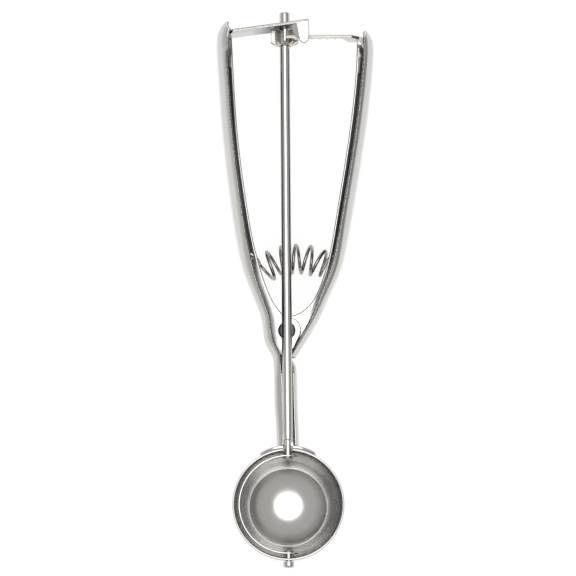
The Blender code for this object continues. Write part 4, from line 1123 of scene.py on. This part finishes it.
def make_spring():
    span = SPRING_END_TURNS - SPRING_START_TURNS
    count = round(span * TURN_STEPS)
    coil = [coil_point(SPRING_START_TURNS + span * k / count) for k in range(count + 1)]
    left, right = hook_places()
    first = hook_points(SPRING_START_TURNS, -1.0, left, 0.35, (-1.0, 0.2, 0.2))
    last = hook_points(SPRING_END_TURNS, 1.0, right, 0.95, (0.75, 0.65, 0.0))
    path = first[::-1] + coil + last
    curve = bpy.data.curves.new("spring_path", "CURVE")
    curve.dimensions = "3D"
    curve.bevel_depth = SPRING_WIRE
    curve.bevel_resolution = 6
    curve.use_fill_caps = True
    spline = curve.splines.new("POLY")
    spline.points.add(len(path) - 1)
    for point, place in zip(spline.points, path):
        point.co = (*place, 1.0)
    spline.points[0].radius = spline.points[-1].radius = HOOK_POINT_SHARE
    wire = add_object("spring_path", curve)
    mesh = finished_mesh(wire)
    bpy.data.objects.remove(wire)
    spring = add_object("coil_spring", mesh)
    mesh.transform(Matrix.Scale(MM, 4) @ Matrix.Translation(SHIFT))
    mesh.materials.clear()
    mesh.materials.append(spring_steel)
    mesh.shade_smooth()
    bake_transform(spring)
    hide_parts("return_spring")


# Studio

def make_floor():
    floor = sheet_object("floor", 3, 3, lambda i, j: ((j - 1) * FLOOR_REACH, (i - 1) * FLOOR_REACH, FLOOR_Z))
    material, graph, shader = new_material("floor_white")
    shader.inputs["Base Color"].default_value = (0.90, 0.90, 0.90, 1.0)
    shader.inputs["Roughness"].default_value = 0.9
    shader.inputs["Specular IOR Level"].default_value = 0.0
    rays = graph.node("ShaderNodeLightPath")
    seen = graph.math("MAXIMUM", rays.outputs["Is Camera Ray"], rays.outputs["Is Glossy Ray"])
    seen = graph.math("MAXIMUM", seen, rays.outputs["Is Transmission Ray"])
    glow = graph.node("ShaderNodeEmission")
    away = graph.node("ShaderNodeVectorMath", operation="LENGTH")
    graph.link(graph.node("ShaderNodeTexCoord").outputs["Object"], away.inputs[0])
    graph.link(graph.spread(away.outputs["Value"], *FLOOR_GLOW), glow.inputs["Strength"])
    blend = graph.node("ShaderNodeMixShader")
    graph.link(graph.math("MULTIPLY", seen, FLOOR_GLOW_SHARE), blend.inputs[0])
    graph.link(shader.outputs[0], blend.inputs[1])
    graph.link(glow.outputs[0], blend.inputs[2])
    output = material.node_tree.nodes["Material Output"]
    graph.link(blend.outputs[0], output.inputs["Surface"])
    floor.data.materials.clear()
    floor.data.materials.append(material)


def make_world():
    """Studio room: even light grey above, and near the horizon bright to the left, darker to the right."""
    world = bpy.data.worlds.new("studio")
    bpy.context.scene.world = world
    world.use_nodes = True
    graph = Graph(world.node_tree)
    toward = graph.split(graph.node("ShaderNodeTexCoord").outputs["Generated"])
    left = graph.ramp(toward["Z"], ROOM_LEFT)
    right = graph.ramp(toward["Z"], ROOM_RIGHT)
    across = graph.spread(toward["X"], 0.0, 1.0, -0.5, 0.5)
    background = world.node_tree.nodes["Background"]
    graph.link(graph.mix(across, left, right), background.inputs["Color"])
    background.inputs["Strength"].default_value = 1.0


def make_lights():
    """Round softbox overhead, near the camera's direction."""
    data = bpy.data.lights.new("overhead", "AREA")
    data.shape = "DISK"
    data.size = 2.0 * LAMP_RADIUS
    data.energy = LAMP_LEVEL * math.pi * (math.pi * LAMP_RADIUS ** 2)
    lamp = add_object("overhead", data)
    lamp.location = LAMP_PLACE
    lamp.rotation_euler = (Vector(LAMP_PLACE) - Vector(LAMP_TARGET)).to_track_quat("Z", "Y").to_euler()


def make_camera():
    data = bpy.data.cameras.new("camera")
    data.sensor_width = 36.0
    data.sensor_fit = "HORIZONTAL"
    data.lens = CAMERA_LENS
    camera = add_object("camera", data)
    camera.location = CAMERA_PLACE
    camera.rotation_euler = [math.radians(angle) for angle in CAMERA_TURN]
    bpy.context.scene.camera = camera


make_camera()
make_saddle(make_bowl())
make_handles()
make_rivet()
make_rod()
make_bottom_pin()
make_scraper()
make_pinion()
make_rack()
make_bearing_arm()
make_spring()
make_floor()
make_world()
make_lights()

bpy.context.scene.view_settings.view_transform = "Standard"
